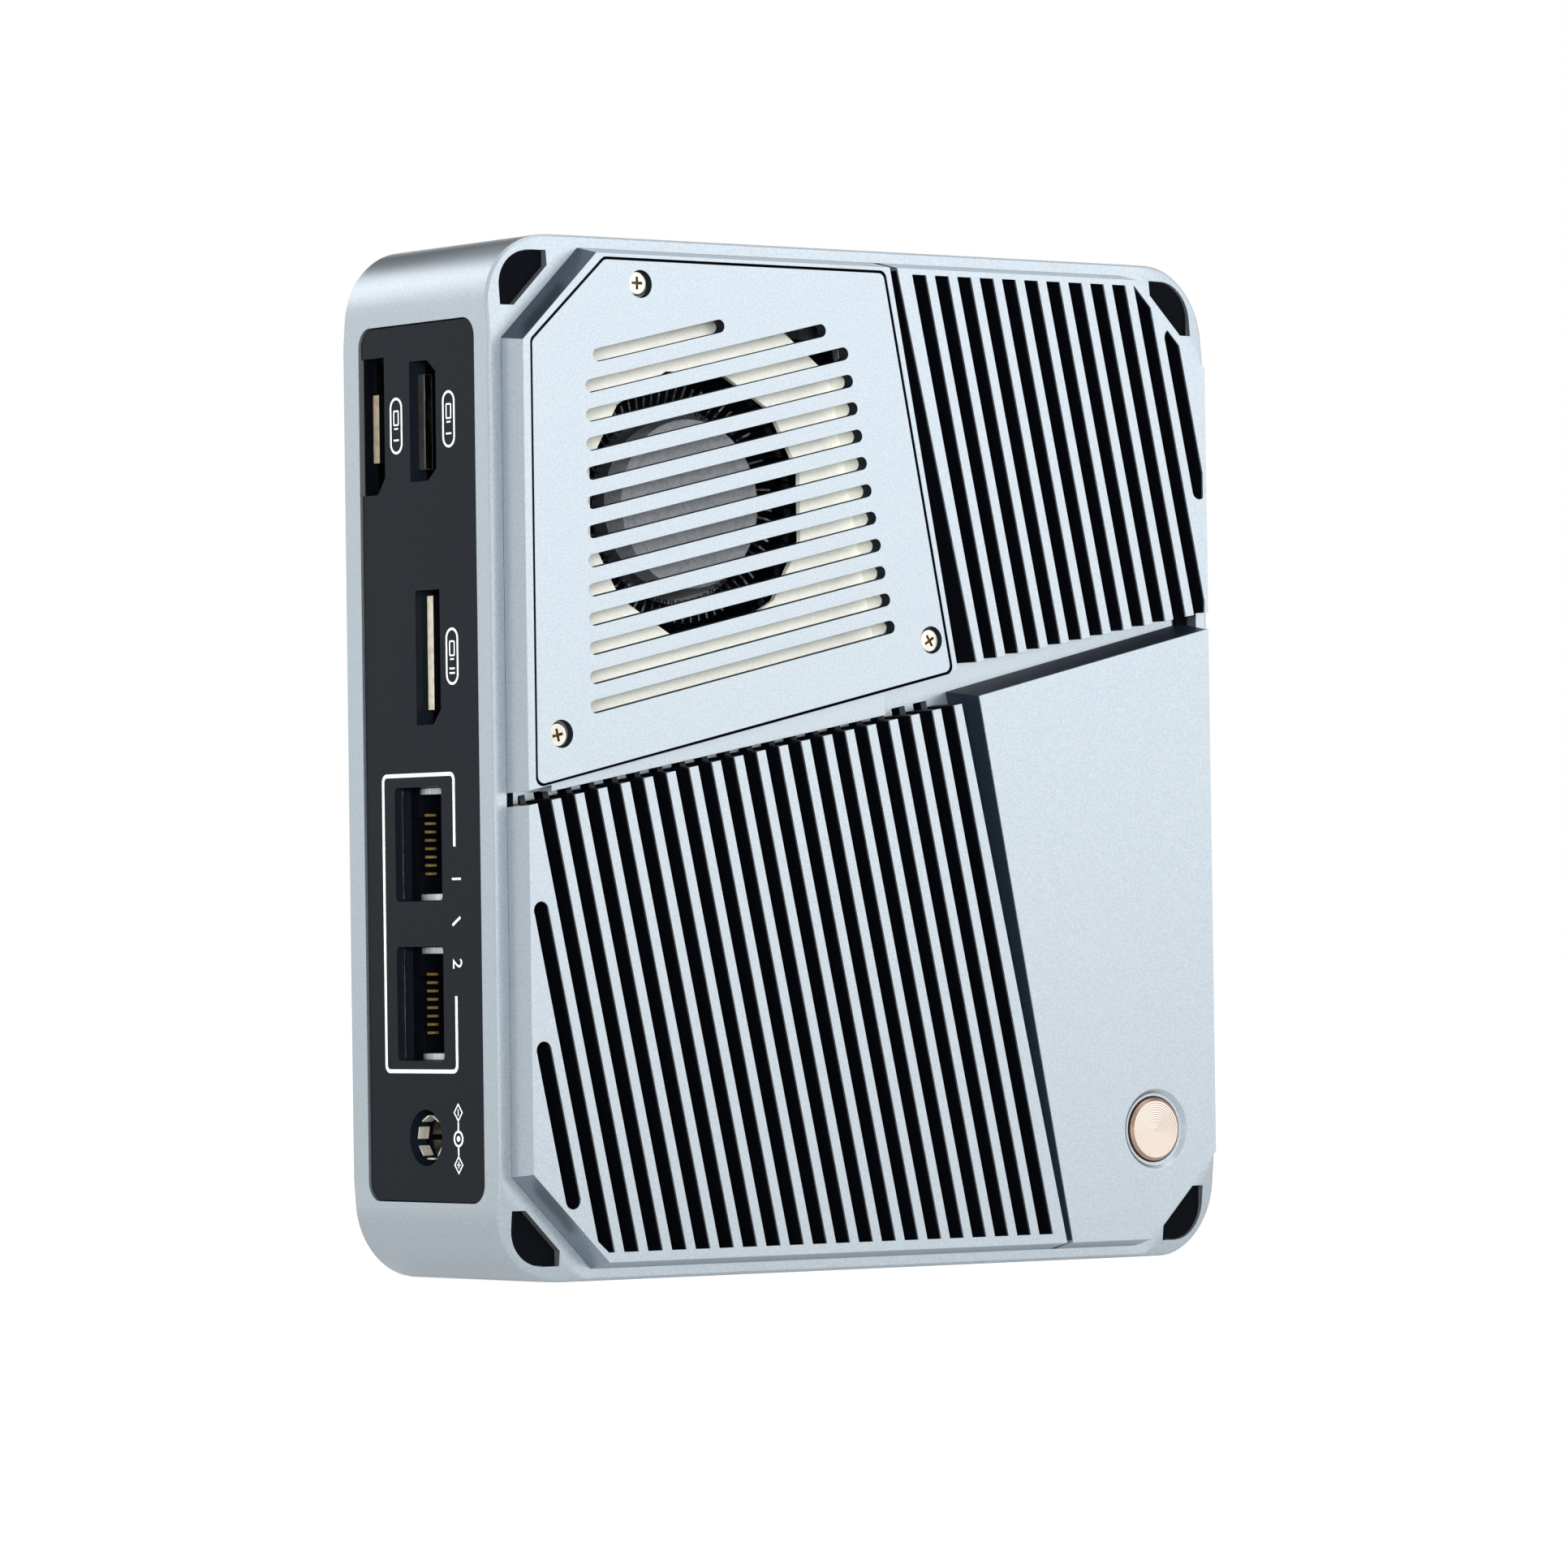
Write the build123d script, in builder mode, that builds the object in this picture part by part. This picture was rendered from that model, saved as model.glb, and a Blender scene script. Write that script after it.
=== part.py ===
from build123d import *
import os
from math import atan, cos, degrees, radians, sin, sqrt, tan

# A mini computer that stands on its short edge.
# X runs across the wide face, +Y from the vented face to the back, +Z up.
# A depth is measured inwards from the foremost faces of the vented side.

# overall sizes
case_w = 112.0
case_h = 126.0
raise_h = 3.4
ring_depth = 31.0
foot_h = 1.2
total_depth = raise_h + ring_depth + foot_h
wall = 1.8
corner_r = 9.0
edge_r = 0.4
dip_reach = 12.5
dip_deg = 8.6
pocket_edge = 1.95
pocket_w = 6.8
pocket_cut = 3.8
pocket_r = 4.6
pocket_sink = 1.0
fit_gap = 0.15

# edges and middle that the face's pieces are placed from
left = -case_w / 2
right = case_w / 2
top = case_h
mid_z = case_h / 2
past = 4.0

# depths of the layers
rim_d = raise_h
rim_t = 1.6
deck_d = 5.4
deck_t = 1.2
frame_d = deck_d + deck_t
frame_t = 1.4
frame_back_d = frame_d + frame_t
board_d = raise_h + 18.6
board_t = 1.6
board_back_d = board_d + board_t
ring_back_d = raise_h + ring_depth
cover_t = 1.8
cover_d = ring_back_d - cover_t

# raised octagon that the four face quadrants are cut from
side_gap = 1.85
end_gap = 1.5
draft_w = 0.8
cut_x = 11.5
cut_z = 11.3
skin_t = 0.3
lean_deg = 12.5
lean = tan(radians(lean_deg))
seam_low_z = 2.4
seam_lean = 0.23294
plain_lean = 0.20249

# fan cover in the upper left quadrant
cover_pts = [
    (left + 3.9, top - 13.1), (left + 14.8, top - 2.9), (1.7, top - 2.9),
    (11.55, mid_z + 10.8), (left + 3.9, mid_z - 3.6),
]
fan_window = [
    (left + 8.6, top - 15.1), (left + 16.9, top - 7.7), (-2.5, top - 7.7),
    (5.5, mid_z + 14.6), (left + 8.6, mid_z + 2.5),
]
plate_d = 0.15
plate_t = 1.7
vent_h = 1.6
vent_pitch = 3.527
vent_deg = 12.7
vent_left = left + 11.65
vent_top_z = top - 15.0
vent_low_z = mid_z + 5.0
vent_count = int((vent_top_z - vent_low_z) / vent_pitch) + 1
vent_right_ends = [-23.25, -7.35, -3.85]
vent_right_step = 0.68
cover_screws = [(left + 20.2, top - 5.7), (8.5, mid_z + 14.6), (left + 7.5, mid_z + 2.6)]
cover_screw_r = 1.55
cover_screw_sink = 0.55
lip_d = 2.8
lip_pts = [(left + 8.0, mid_z - 1.0), (left + 8.0, mid_z - 4.1), (3.1, mid_z + 5.4), (3.1, mid_z + 11.5)]

# finned quadrants
upper_pts = [
    (3.55, top + past), (3.55, top - 1.8), (15.45, mid_z + 12.0),
    (right + past, mid_z + 20.0), (right + past, top + past),
]
seam_x = 28.65
seam_top_z = mid_z + 6.8
lower_pts = [
    (left - past, mid_z - 7.1), (seam_x - (seam_top_z - seam_low_z) * seam_lean, seam_top_z),
    (seam_x, seam_low_z), (seam_x, -past), (left - past, -past),
]
fin_slot_w = 2.17
fin_pitch = 3.572
lower_end_z = 3.5
lower_last_x = 24.183
lower_rise = (mid_z - 5.9 - lower_end_z) * lean
lower_slots = int((lower_last_x - lower_rise - left - 3.95) / fin_pitch) + 1
lower_x0 = lower_last_x - (lower_slots - 1) * fin_pitch
lower_top_z = mid_z + 13.0
short_top_z = 44.6
stub_z = 18.9
stub_len = 20.6
upper_x0 = 6.2
upper_z0 = top - 3.7
upper_end_z = top - 3.05
upper_low_z = mid_z + 7.0
upper_slots = int((right - 13.0 - upper_x0) / fin_pitch) + 1
upper_stub_z = top - 19.1
upper_stub_len = 22.0
rib_t = 1.2
rib_h = 3.0
lower_ribs = (26.0, 48.0)
upper_rib = top - 26.0
notch = 0.8

# plain quadrant with the power button
plain_x = 29.6
plain_top_z = mid_z + 7.8
plain_pts = [
    (plain_x - (plain_top_z - seam_low_z) * plain_lean, plain_top_z), (right + past, mid_z + 18.25),
    (right + past, -past), (plain_x, -past), (plain_x, seam_low_z),
]
plain_draft = 0.9
button_x = right - 12.6
button_z = 16.2
dish_r = 5.05
dish_depth = 0.8
dish_fall = 0.5
dish_deg = 45.0
cap_r = 4.1
cap_t = 2.0
cap_stem_r = 1.6
cap_travel = 0.5
running_gap = 0.06
web_d = 3.4
collar_r = 2.8
collar_end_d = 8.9

# blower
fan_x = -22.5
fan_z = mid_z + 31.3
bracket_d = 7.2
bracket_t = frame_back_d - bracket_d
bracket_hole_r = 16.6
bracket_sides = 12
blower_t = 5.8
blower_skin = 0.7
blower_wall = 1.0
inlet_r = 17.2
impeller_r = 18.3
impeller_gap = 1.1
blower_r = impeller_r + impeller_gap + blower_wall
duct_top_z = fan_z + blower_r + 0.3
stack_top_z = top - wall - 0.2
blade_in_r = 12.4
blade_count = 37
blade_t = 0.55
hub_r = 10.4
hub_d = 8.4
shaft_r = 1.0
blower_back_d = frame_back_d + blower_t

# ports in the left side
port_open_d = (raise_h + 3.0, raise_h + 27.5)
port_open_z = (9.6, top - 10.0)
port_open_r = 2.4
panel_sink = 0.3
panel_t = 1.5
panel_lip = 1.0
panel_lip_z = 0.5
shell_t = 0.3
port_len = 11.0
wide_d = raise_h + 14.4
wide_z = top - 21.9
video1_d = raise_h + 24.9
video1_z = top - 22.1
video2_d = raise_h + 13.9
video2_z = 75.5
lan_d = raise_h + 16.4
lan_z = (52.9, 33.6)
lan_cut_w = 9.8
lan_cut_h = 13.8
lan_shell_h = 16.0
lan_shell_w = 13.0
lan_len = 21.0
contact_pitch = 1.016
dc_d = raise_h + 15.6
dc_z = 17.4
dc_hole_r = 3.4

# sockets in the right side
data_z = (92.0, 72.0)
small_data_z = 54.0
audio_z = 40.0
io_d = raise_h + 14.8

half_depth = total_depth / 2
corners = [(-1, -1), (1, -1), (-1, 1), (1, 1)]
os.makedirs("parts", exist_ok=True)


def front(depth):
    """Plane facing the viewer, at a depth behind the foremost faces."""
    return Plane.XZ.offset(half_depth - depth)


def y_at(depth):
    """Y coordinate of a depth."""
    return depth - half_depth


def side_pts(points):
    """Turn (depth, z) points into the (y, z) of a side sketch."""
    return [(y_at(depth), z) for depth, z in points]


def cut_around(depth, z, offsets):
    """Outline in a side sketch from offsets around one socket's middle."""
    return [(y_at(depth + out), z + up) for out, up in offsets]


def octagon(inset):
    """Foot of the raised face moved inwards, with its four cut corners."""
    shrink = 0.586 * inset
    half_w = case_w / 2 - side_gap - inset
    low = end_gap + inset
    high = case_h - end_gap - inset
    cx = cut_x - shrink
    cz = cut_z - shrink
    return [
        (-half_w, low + cz), (-half_w, high - cz), (-half_w + cx, high), (half_w - cx, high),
        (half_w, high - cz), (half_w, low + cz), (half_w - cx, low), (-half_w + cx, low),
    ]


def pocket(side_x, side_z, inset):
    """Outline of one black corner pocket; side_x and side_z are -1 or 1."""
    half_w = case_w / 2
    half_h = case_h / 2
    out_x = half_w - pocket_edge - inset
    out_z = half_h - pocket_edge - inset
    in_x = half_w - pocket_edge - pocket_w + inset
    in_z = half_h - pocket_edge - pocket_w + inset
    pts = [
        (out_x, in_z), (half_w - pocket_cut, in_z), (in_x, half_h - pocket_cut),
        (in_x, out_z), (out_x, out_z),
    ]
    return [(side_x * x, mid_z + side_z * z) for x, z in pts]


def pocket_sketch(depth, inset):
    """All four corner pockets, each with its outer corner rounded."""
    with BuildSketch(front(depth)) as pockets:
        for side_x, side_z in corners:
            Polygon(*pocket(side_x, side_z, inset), align=None)
        outer = pockets.vertices().filter_by(
            lambda v: abs(v.X) > case_w / 2 - 3.0 - inset and abs(v.Y - mid_z) > case_h / 2 - 3.0 - inset)
        fillet(outer, pocket_r)
    return pockets.sketch


def dip_plane(side_x, side_z, depth, facing):
    """Plane that falls away from the rim towards one corner of the case."""
    slope = sin(radians(dip_deg)) / sqrt(2)
    start = (side_x * case_w / 2, y_at(depth), mid_z + side_z * (case_h / 2 - dip_reach))
    return Plane(origin=start, x_dir=(side_x, 0, -side_z),
                 z_dir=(side_x * slope, facing * cos(radians(dip_deg)), side_z * slope))


def rib(x_from, x_to, z):
    """One cross rib between two x positions."""
    with Locations(((x_from + x_to) / 2, z)):
        Rectangle(x_to - x_from, rib_h)


def leaned(x, z_ref, z):
    """X of a leaning fin line at height z."""
    return x + (z_ref - z) * lean


def fin_slot(x, z_ref, z_low, z_high):
    """Corners of one leaning slot whose left edge passes (x, z_ref)."""
    return [
        (leaned(x, z_ref, z_low), z_low), (leaned(x, z_ref, z_high), z_high),
        (leaned(x, z_ref, z_high) + fin_slot_w, z_high), (leaned(x, z_ref, z_low) + fin_slot_w, z_low),
    ]


def write(piece, name):
    """Label a finished piece and write its STEP file."""
    piece.part.label = name
    export_step(piece.part, f"parts/{name}.step")
    print(name, round(piece.part.volume, 1))


# ---------------------------------------------------------------- case ring
boss_x = case_w / 2 - 7.7
boss_z = case_h / 2 - 8.0
boss_r = 3.2
boss_pts = [(sx * boss_x, mid_z + sz * boss_z) for sx, sz in corners]
with BuildPart() as housing:
    with BuildSketch(front(rim_d)):
        with Locations((0, mid_z)):
            RectangleRounded(case_w, case_h, corner_r)
    extrude(amount=-ring_depth)
    # both rims fall away a little at the corners
    for sx, sz in corners:
        for plane in (dip_plane(sx, sz, rim_d, -1), dip_plane(sx, sz, ring_back_d, 1)):
            with BuildSketch(plane):
                Rectangle(50.0, 30.0)
            extrude(amount=5.0, mode=Mode.SUBTRACT)
    sides = housing.faces().filter_by(lambda f: abs(f.normal_at().Y) < 0.01)
    fillet(sides.edges().filter_by(Axis.Y, reverse=True), edge_r)
    with BuildSketch(front(rim_d + rim_t)):
        with Locations((0, mid_z)):
            RectangleRounded(case_w - 2 * wall, case_h - 2 * wall, corner_r - wall)
    extrude(amount=-ring_depth, mode=Mode.SUBTRACT)
    with BuildSketch(front(rim_d)):
        Polygon(*octagon(0), align=None)
    extrude(amount=-rim_t, mode=Mode.SUBTRACT)
    extrude(to_extrude=pocket_sketch(rim_d, 0), amount=-rim_t, mode=Mode.SUBTRACT)
    # openings for the two socket panels
    port_mid_y = y_at(sum(port_open_d) / 2)
    port_mid_z = sum(port_open_z) / 2
    port_w = port_open_d[1] - port_open_d[0]
    port_h = port_open_z[1] - port_open_z[0]
    with BuildSketch(Plane.YZ.offset(-case_w / 2)):
        with Locations((port_mid_y, port_mid_z)):
            RectangleRounded(port_w, port_h, port_open_r)
    extrude(amount=case_w, mode=Mode.SUBTRACT)
    # exhaust louvres over the fin stack, in the top wall
    with BuildSketch(Plane.XY.offset(case_h - wall)):
        with GridLocations(3.6, 1, 12, 1):
            with Locations((fan_x + 1.0, y_at(12.2))):
                SlotOverall(8.0, 1.8, rotation=90)
    extrude(amount=wall, mode=Mode.SUBTRACT)
    # screw bosses for the back cover
    with BuildSketch(front(board_back_d)):
        with Locations(*boss_pts):
            Circle(boss_r)
        for sx, sz in corners:
            with Locations((sx * (boss_x + 3.2), mid_z + sz * boss_z)):
                Rectangle(5.6, 2.0)
            with Locations((sx * boss_x, mid_z + sz * (boss_z + 3.6))):
                Rectangle(2.0, 5.6)
    extrude(amount=-(cover_d - board_back_d))
    with BuildSketch(front(cover_d)):
        with Locations(*boss_pts):
            Circle(1.05)
    extrude(amount=7.0, mode=Mode.SUBTRACT)
write(housing, "housing")

# ---------------------------------------------- sketches shared by the face
with BuildSketch(front(0)) as lower_cuts:
    for i in range(lower_slots):
        x = lower_x0 + i * fin_pitch
        Polygon(*fin_slot(x, lower_end_z, lower_end_z, lower_top_z), align=None)
    short_x = lower_x0 - fin_pitch
    Polygon(*fin_slot(short_x, lower_end_z, lower_end_z, short_top_z), align=None)
    with Locations((leaned(short_x, lower_end_z, short_top_z) + fin_slot_w / 2, short_top_z)):
        Circle(fin_slot_w / 2)
    zone = [
        (left - past, lower_top_z), (right + past, lower_top_z), (right + past, lower_end_z),
        (left + 13.6, lower_end_z), (left + 11.4, 5.4), (left - past, 19.4),
    ]
    Polygon(*zone, align=None, mode=Mode.INTERSECT)
    with Locations((leaned(short_x - fin_pitch, lower_end_z, stub_z) + fin_slot_w / 2, stub_z)):
        SlotOverall(stub_len, fin_slot_w, rotation=90 + lean_deg)

with BuildSketch(front(0)) as upper_cuts:
    for i in range(upper_slots):
        x = upper_x0 + i * fin_pitch
        Polygon(*fin_slot(x, upper_z0, upper_low_z, upper_end_z), align=None)
    stub_x = leaned(upper_x0 + upper_slots * fin_pitch, upper_z0, upper_stub_z)
    with Locations((stub_x + fin_slot_w / 2, upper_stub_z)):
        SlotOverall(upper_stub_len, fin_slot_w, rotation=90 + lean_deg)
    zone = [
        (0, upper_low_z), (right - 3.25, upper_low_z), (right - 3.25, top - 14.0),
        (right - 11.6, top - 5.6), (right - 14.15, upper_end_z), (0, upper_end_z),
    ]
    Polygon(*zone, align=None, mode=Mode.INTERSECT)

# ------------------------------------------------------- inner black frame
frame_w = case_w - 2 * wall - 0.4
frame_h = case_h - 2 * wall - 0.4
post_r = 2.6
frame_inset = 2.05
with BuildPart() as inner_frame:
    with BuildSketch(front(rim_d + rim_t)):
        with Locations((0, mid_z)):
            RectangleRounded(frame_w, frame_h, corner_r - wall)
    extrude(amount=-(frame_back_d - rim_d - rim_t))
    with BuildSketch(front(rim_d + rim_t)):
        Polygon(*octagon(frame_inset), align=None)
    extrude(amount=-(frame_d - rim_d - rim_t), mode=Mode.SUBTRACT)
    extrude(to_extrude=pocket_sketch(rim_d + pocket_sink, 0.08), amount=-(rim_t - pocket_sink))
    with BuildSketch(front(frame_d)):
        Polygon(*fan_window, align=None)
        with Locations((button_x, button_z)):
            Circle(collar_r + 0.4)
    extrude(amount=-frame_t, mode=Mode.SUBTRACT)
    extrude(to_extrude=lower_cuts.sketch, amount=-frame_back_d, mode=Mode.SUBTRACT)
    extrude(to_extrude=upper_cuts.sketch, amount=-frame_back_d, mode=Mode.SUBTRACT)
    # the sheet's edge frame is kept whole where the slots cross it
    with BuildSketch(front(rim_d + rim_t)):
        with Locations((0, mid_z)):
            RectangleRounded(frame_w, frame_h, corner_r - wall)
        Polygon(*octagon(frame_inset), align=None, mode=Mode.SUBTRACT)
    extrude(amount=-(frame_back_d - rim_d - rim_t))
    # the sides step back behind the socket panels
    with BuildSketch(front(port_open_d[0] - panel_lip - 0.1)):
        with Locations((0, port_mid_z)):
            Rectangle(case_w, port_h + 2 * panel_lip_z + 0.4)
            Rectangle(2 * (case_w / 2 - panel_sink - panel_t - 0.9 - 0.1), case_h, mode=Mode.SUBTRACT)
    extrude(amount=-frame_back_d, mode=Mode.SUBTRACT)
    # cross ribs tie the strips between the slots together
    with BuildSketch(front(frame_d)):
        for rib_z in lower_ribs:
            rib(left + 4.0, 22.0, rib_z)
        rib(11.0, right - 3.0, upper_rib)
    extrude(amount=-frame_t)
    with BuildSketch(front(frame_back_d)):
        with Locations(*boss_pts):
            Circle(post_r)
    extrude(amount=-(board_d - frame_back_d))
    # two short posts carry the power switch
    with BuildSketch(front(frame_back_d)):
        with Locations((button_x - 6.3, button_z), (button_x + 6.3, button_z)):
            Circle(1.2)
    extrude(amount=-3.4)
write(inner_frame, "inner_frame")

# ---------------------------------------------------- silver channel floor
with BuildPart() as channel_deck:
    with BuildSketch(front(deck_d)):
        Polygon(*octagon(frame_inset + 0.1), align=None)
        Polygon(*fan_window, align=None, mode=Mode.SUBTRACT)
        with Locations((button_x, button_z)):
            Circle(collar_r + 0.4, mode=Mode.SUBTRACT)
    extrude(amount=-deck_t)
    # the slots go through under the fins and end as small notches in the channel
    with BuildSketch(front(deck_d)):
        add(lower_cuts.sketch_local)
        Polygon(*[(x, z + notch) for x, z in lower_pts], align=None, mode=Mode.INTERSECT)
    extrude(amount=-deck_t, mode=Mode.SUBTRACT)
    with BuildSketch(front(deck_d)):
        add(upper_cuts.sketch_local)
        Polygon(*upper_pts, align=None, mode=Mode.INTERSECT)
    extrude(amount=-deck_t, mode=Mode.SUBTRACT)
    with BuildSketch(front(deck_d)):
        Polygon(*octagon(frame_inset + 0.1), align=None)
        Polygon(*octagon(frame_inset + 1.0), align=None, mode=Mode.SUBTRACT)
    extrude(amount=-deck_t)
write(channel_deck, "channel_deck")


# -------------------------------------------------------- face quadrants
def core_outline(points, inset):
    """Quadrant region inside the walls, as the black core fills it."""
    Polygon(*octagon(inset), align=None)
    Polygon(*points, align=None, mode=Mode.INTERSECT)


core_depth = deck_d - skin_t
core_step_d = rim_d + rim_t - 0.05
core_inset = draft_w + 0.35
core_foot_inset = frame_inset + 0.15
draft_deg = degrees(atan(draft_w / raise_h))

with BuildPart() as lower_grille:
    with BuildSketch(front(skin_t)):
        core_outline(lower_pts, core_inset)
    extrude(amount=-(core_step_d - skin_t))
    with BuildSketch(front(core_step_d)):
        core_outline(lower_pts, core_foot_inset)
    extrude(amount=-(deck_d - core_step_d))
    extrude(to_extrude=lower_cuts.sketch, amount=-deck_d, mode=Mode.SUBTRACT)
    # ribs low in the slots join the fins
    with BuildSketch(front(deck_d - rib_t)):
        for rib_z in lower_ribs:
            rib(left + 8.0, 20.0, rib_z)
        Polygon(*lower_pts, align=None, mode=Mode.INTERSECT)
    extrude(amount=-rib_t)
write(lower_grille, "lower_grille")

with BuildPart() as upper_grille:
    with BuildSketch(front(skin_t)):
        core_outline(upper_pts, core_inset)
    extrude(amount=-(core_step_d - skin_t))
    with BuildSketch(front(core_step_d)):
        core_outline(upper_pts, core_foot_inset)
    extrude(amount=-(deck_d - core_step_d))
    extrude(to_extrude=upper_cuts.sketch, amount=-deck_d, mode=Mode.SUBTRACT)
    with BuildSketch(front(deck_d - rib_t)):
        rib(9.0, right - 5.0, upper_rib)
        Polygon(*upper_pts, align=None, mode=Mode.INTERSECT)
    extrude(amount=-rib_t)
write(upper_grille, "upper_grille")

with BuildPart() as lower_grille_face:
    with BuildSketch(front(rim_d)):
        Polygon(*octagon(0), align=None)
    extrude(amount=raise_h, taper=draft_deg)
    with BuildSketch(front(0)):
        Polygon(*lower_pts, align=None)
    extrude(amount=-rim_d, mode=Mode.INTERSECT)
    with BuildSketch(front(skin_t)):
        core_outline(lower_pts, core_inset)
    extrude(amount=-core_depth, mode=Mode.SUBTRACT)
    extrude(to_extrude=lower_cuts.sketch, amount=-rim_d, mode=Mode.SUBTRACT)
write(lower_grille_face, "lower_grille_face")

with BuildPart() as upper_grille_face:
    with BuildSketch(front(rim_d)):
        Polygon(*octagon(0), align=None)
    extrude(amount=raise_h, taper=draft_deg)
    with BuildSketch(front(0)):
        Polygon(*upper_pts, align=None)
    extrude(amount=-rim_d, mode=Mode.INTERSECT)
    with BuildSketch(front(skin_t)):
        core_outline(upper_pts, core_inset)
    extrude(amount=-core_depth, mode=Mode.SUBTRACT)
    extrude(to_extrude=upper_cuts.sketch, amount=-rim_d, mode=Mode.SUBTRACT)
write(upper_grille_face, "upper_grille_face")

# plain quadrant: black block that flares towards the floor, silver face
with BuildPart() as button_block:
    with BuildSketch(front(deck_d)):
        offset(Polygon(*plain_pts, align=None), amount=plain_draft, kind=Kind.INTERSECTION)
    extrude(amount=core_depth, taper=9.6)
    with BuildSketch(front(0)):
        Polygon(*octagon(core_inset), align=None)
    extrude(amount=-deck_d, mode=Mode.INTERSECT)
    with BuildSketch(front(core_step_d)):
        Polygon(*octagon(core_inset - 1), align=None)
        Polygon(*octagon(core_foot_inset), align=None, mode=Mode.SUBTRACT)
    extrude(amount=-(deck_d - core_step_d), mode=Mode.SUBTRACT)
    with BuildSketch(front(skin_t)):
        with Locations((button_x, button_z)):
            Circle(cap_r + running_gap)
    extrude(amount=-(web_d - skin_t), mode=Mode.SUBTRACT)
    with BuildSketch(front(web_d)):
        with Locations((button_x, button_z)):
            Circle(cap_stem_r + running_gap)
    extrude(amount=-(deck_d - web_d), mode=Mode.SUBTRACT)
    # shallow dish around the cap
    with BuildSketch(front(skin_t)):
        with Locations((button_x, button_z)):
            Circle(dish_r)
    extrude(amount=-(dish_depth - skin_t), mode=Mode.SUBTRACT)
write(button_block, "button_block")

with BuildPart() as button_panel:
    with BuildSketch(front(rim_d)):
        Polygon(*octagon(0), align=None)
    extrude(amount=raise_h, taper=draft_deg)
    with BuildSketch(front(0)):
        Polygon(*plain_pts, align=None)
    extrude(amount=-rim_d, mode=Mode.INTERSECT)
    with BuildSketch(front(skin_t)):
        Polygon(*octagon(core_inset), align=None)
    extrude(amount=-core_depth, mode=Mode.SUBTRACT)
    # the dish around the cap is a ring that slopes inwards
    with BuildSketch(front(0)):
        with Locations((button_x, button_z)):
            Circle(dish_r)
    extrude(amount=-dish_depth)
    with BuildSketch(front(0)):
        with Locations((button_x, button_z)):
            Circle(dish_r)
    extrude(amount=-dish_fall, taper=dish_deg, mode=Mode.SUBTRACT)
    with BuildSketch(front(0)):
        with Locations((button_x, button_z)):
            Circle(cap_r + running_gap)
    extrude(amount=-rim_d, mode=Mode.SUBTRACT)
write(button_panel, "button_panel")

# ------------------------------------------------- power button, one body
with BuildPart() as power_cap:
    with BuildSketch(front(0)):
        with Locations((button_x, button_z)):
            Circle(cap_r)
    extrude(amount=-cap_t)
    chamfer(power_cap.faces().sort_by(Axis.Y)[0].edges(), 0.45)
    with BuildSketch(front(cap_t)):
        with Locations((button_x, button_z)):
            Circle(cap_stem_r)
    extrude(amount=-(deck_d - cap_t))
write(power_cap, "power_cap")

with BuildPart() as power_plunger:
    with BuildSketch(front(deck_d)):
        with Locations((button_x, button_z)):
            Circle(cap_stem_r)
    extrude(amount=-0.1)
    with BuildSketch(front(deck_d + 0.1)):
        with Locations((button_x, button_z)):
            Circle(collar_r)
    extrude(amount=-(collar_end_d - deck_d - 0.1))
write(power_plunger, "power_plunger")

with BuildPart() as power_switch:
    with BuildSketch(front(collar_end_d + cap_travel + 0.1)):
        with Locations((button_x, button_z)):
            Circle(1.5)
    extrude(amount=-0.4)
    with BuildSketch(front(collar_end_d + cap_travel + 0.5)):
        with Locations((button_x, button_z)):
            Rectangle(6.0, 6.0)
    extrude(amount=-(frame_back_d + 3.4 - collar_end_d - cap_travel - 0.5))
    with BuildSketch(front(frame_back_d + 3.4)):
        with Locations((button_x, button_z)):
            Rectangle(16.4, 8.0)
    extrude(amount=-1.0)
write(power_switch, "power_switch")

# ------------------------------------------------------ fan cover quadrant
bezel_pts = [
    (left - past, mid_z - 5.65), (11.75, mid_z + 10.68), (12.3, mid_z + 11.1), (12.25, mid_z + 11.9),
    (2.45, top - 1.8), (2.45, top + past), (left - past, top + past),
]
with BuildPart() as fan_bezel:
    with BuildSketch(front(rim_d)):
        Polygon(*octagon(0), align=None)
    extrude(amount=raise_h, taper=draft_deg)
    with BuildSketch(front(rim_d)):
        Polygon(*octagon(frame_inset + 0.2), align=None)
    extrude(amount=-(deck_d - rim_d))
    with BuildSketch(front(0)):
        Polygon(*bezel_pts, align=None)
    extrude(amount=-deck_d, mode=Mode.INTERSECT)
    # lower lip that shows under the cover's edge
    with BuildSketch(front(lip_d)) as lip:
        Polygon(*lip_pts, align=None)
        fillet(lip.vertices().filter_by(lambda v: v.X > 0).sort_by(Axis.Z)[0], 1.8)
    extrude(amount=-(deck_d - lip_d))
    # seat for the cover, then the window through
    with BuildSketch(front(0)) as seat:
        Polygon(*cover_pts, align=None)
        offset(amount=fit_gap, kind=Kind.INTERSECTION)
        fillet(seat.vertices(), 1.0)
    extrude(amount=-(plate_d + plate_t), mode=Mode.SUBTRACT)
    with BuildSketch(front(0)):
        Polygon(*fan_window, align=None)
    extrude(amount=-deck_d, mode=Mode.SUBTRACT)
    with BuildSketch(front(0)):
        with Locations(*cover_screws):
            Circle(0.8)
    extrude(amount=-(deck_d - 0.6), mode=Mode.SUBTRACT)
write(fan_bezel, "fan_bezel")

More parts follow.
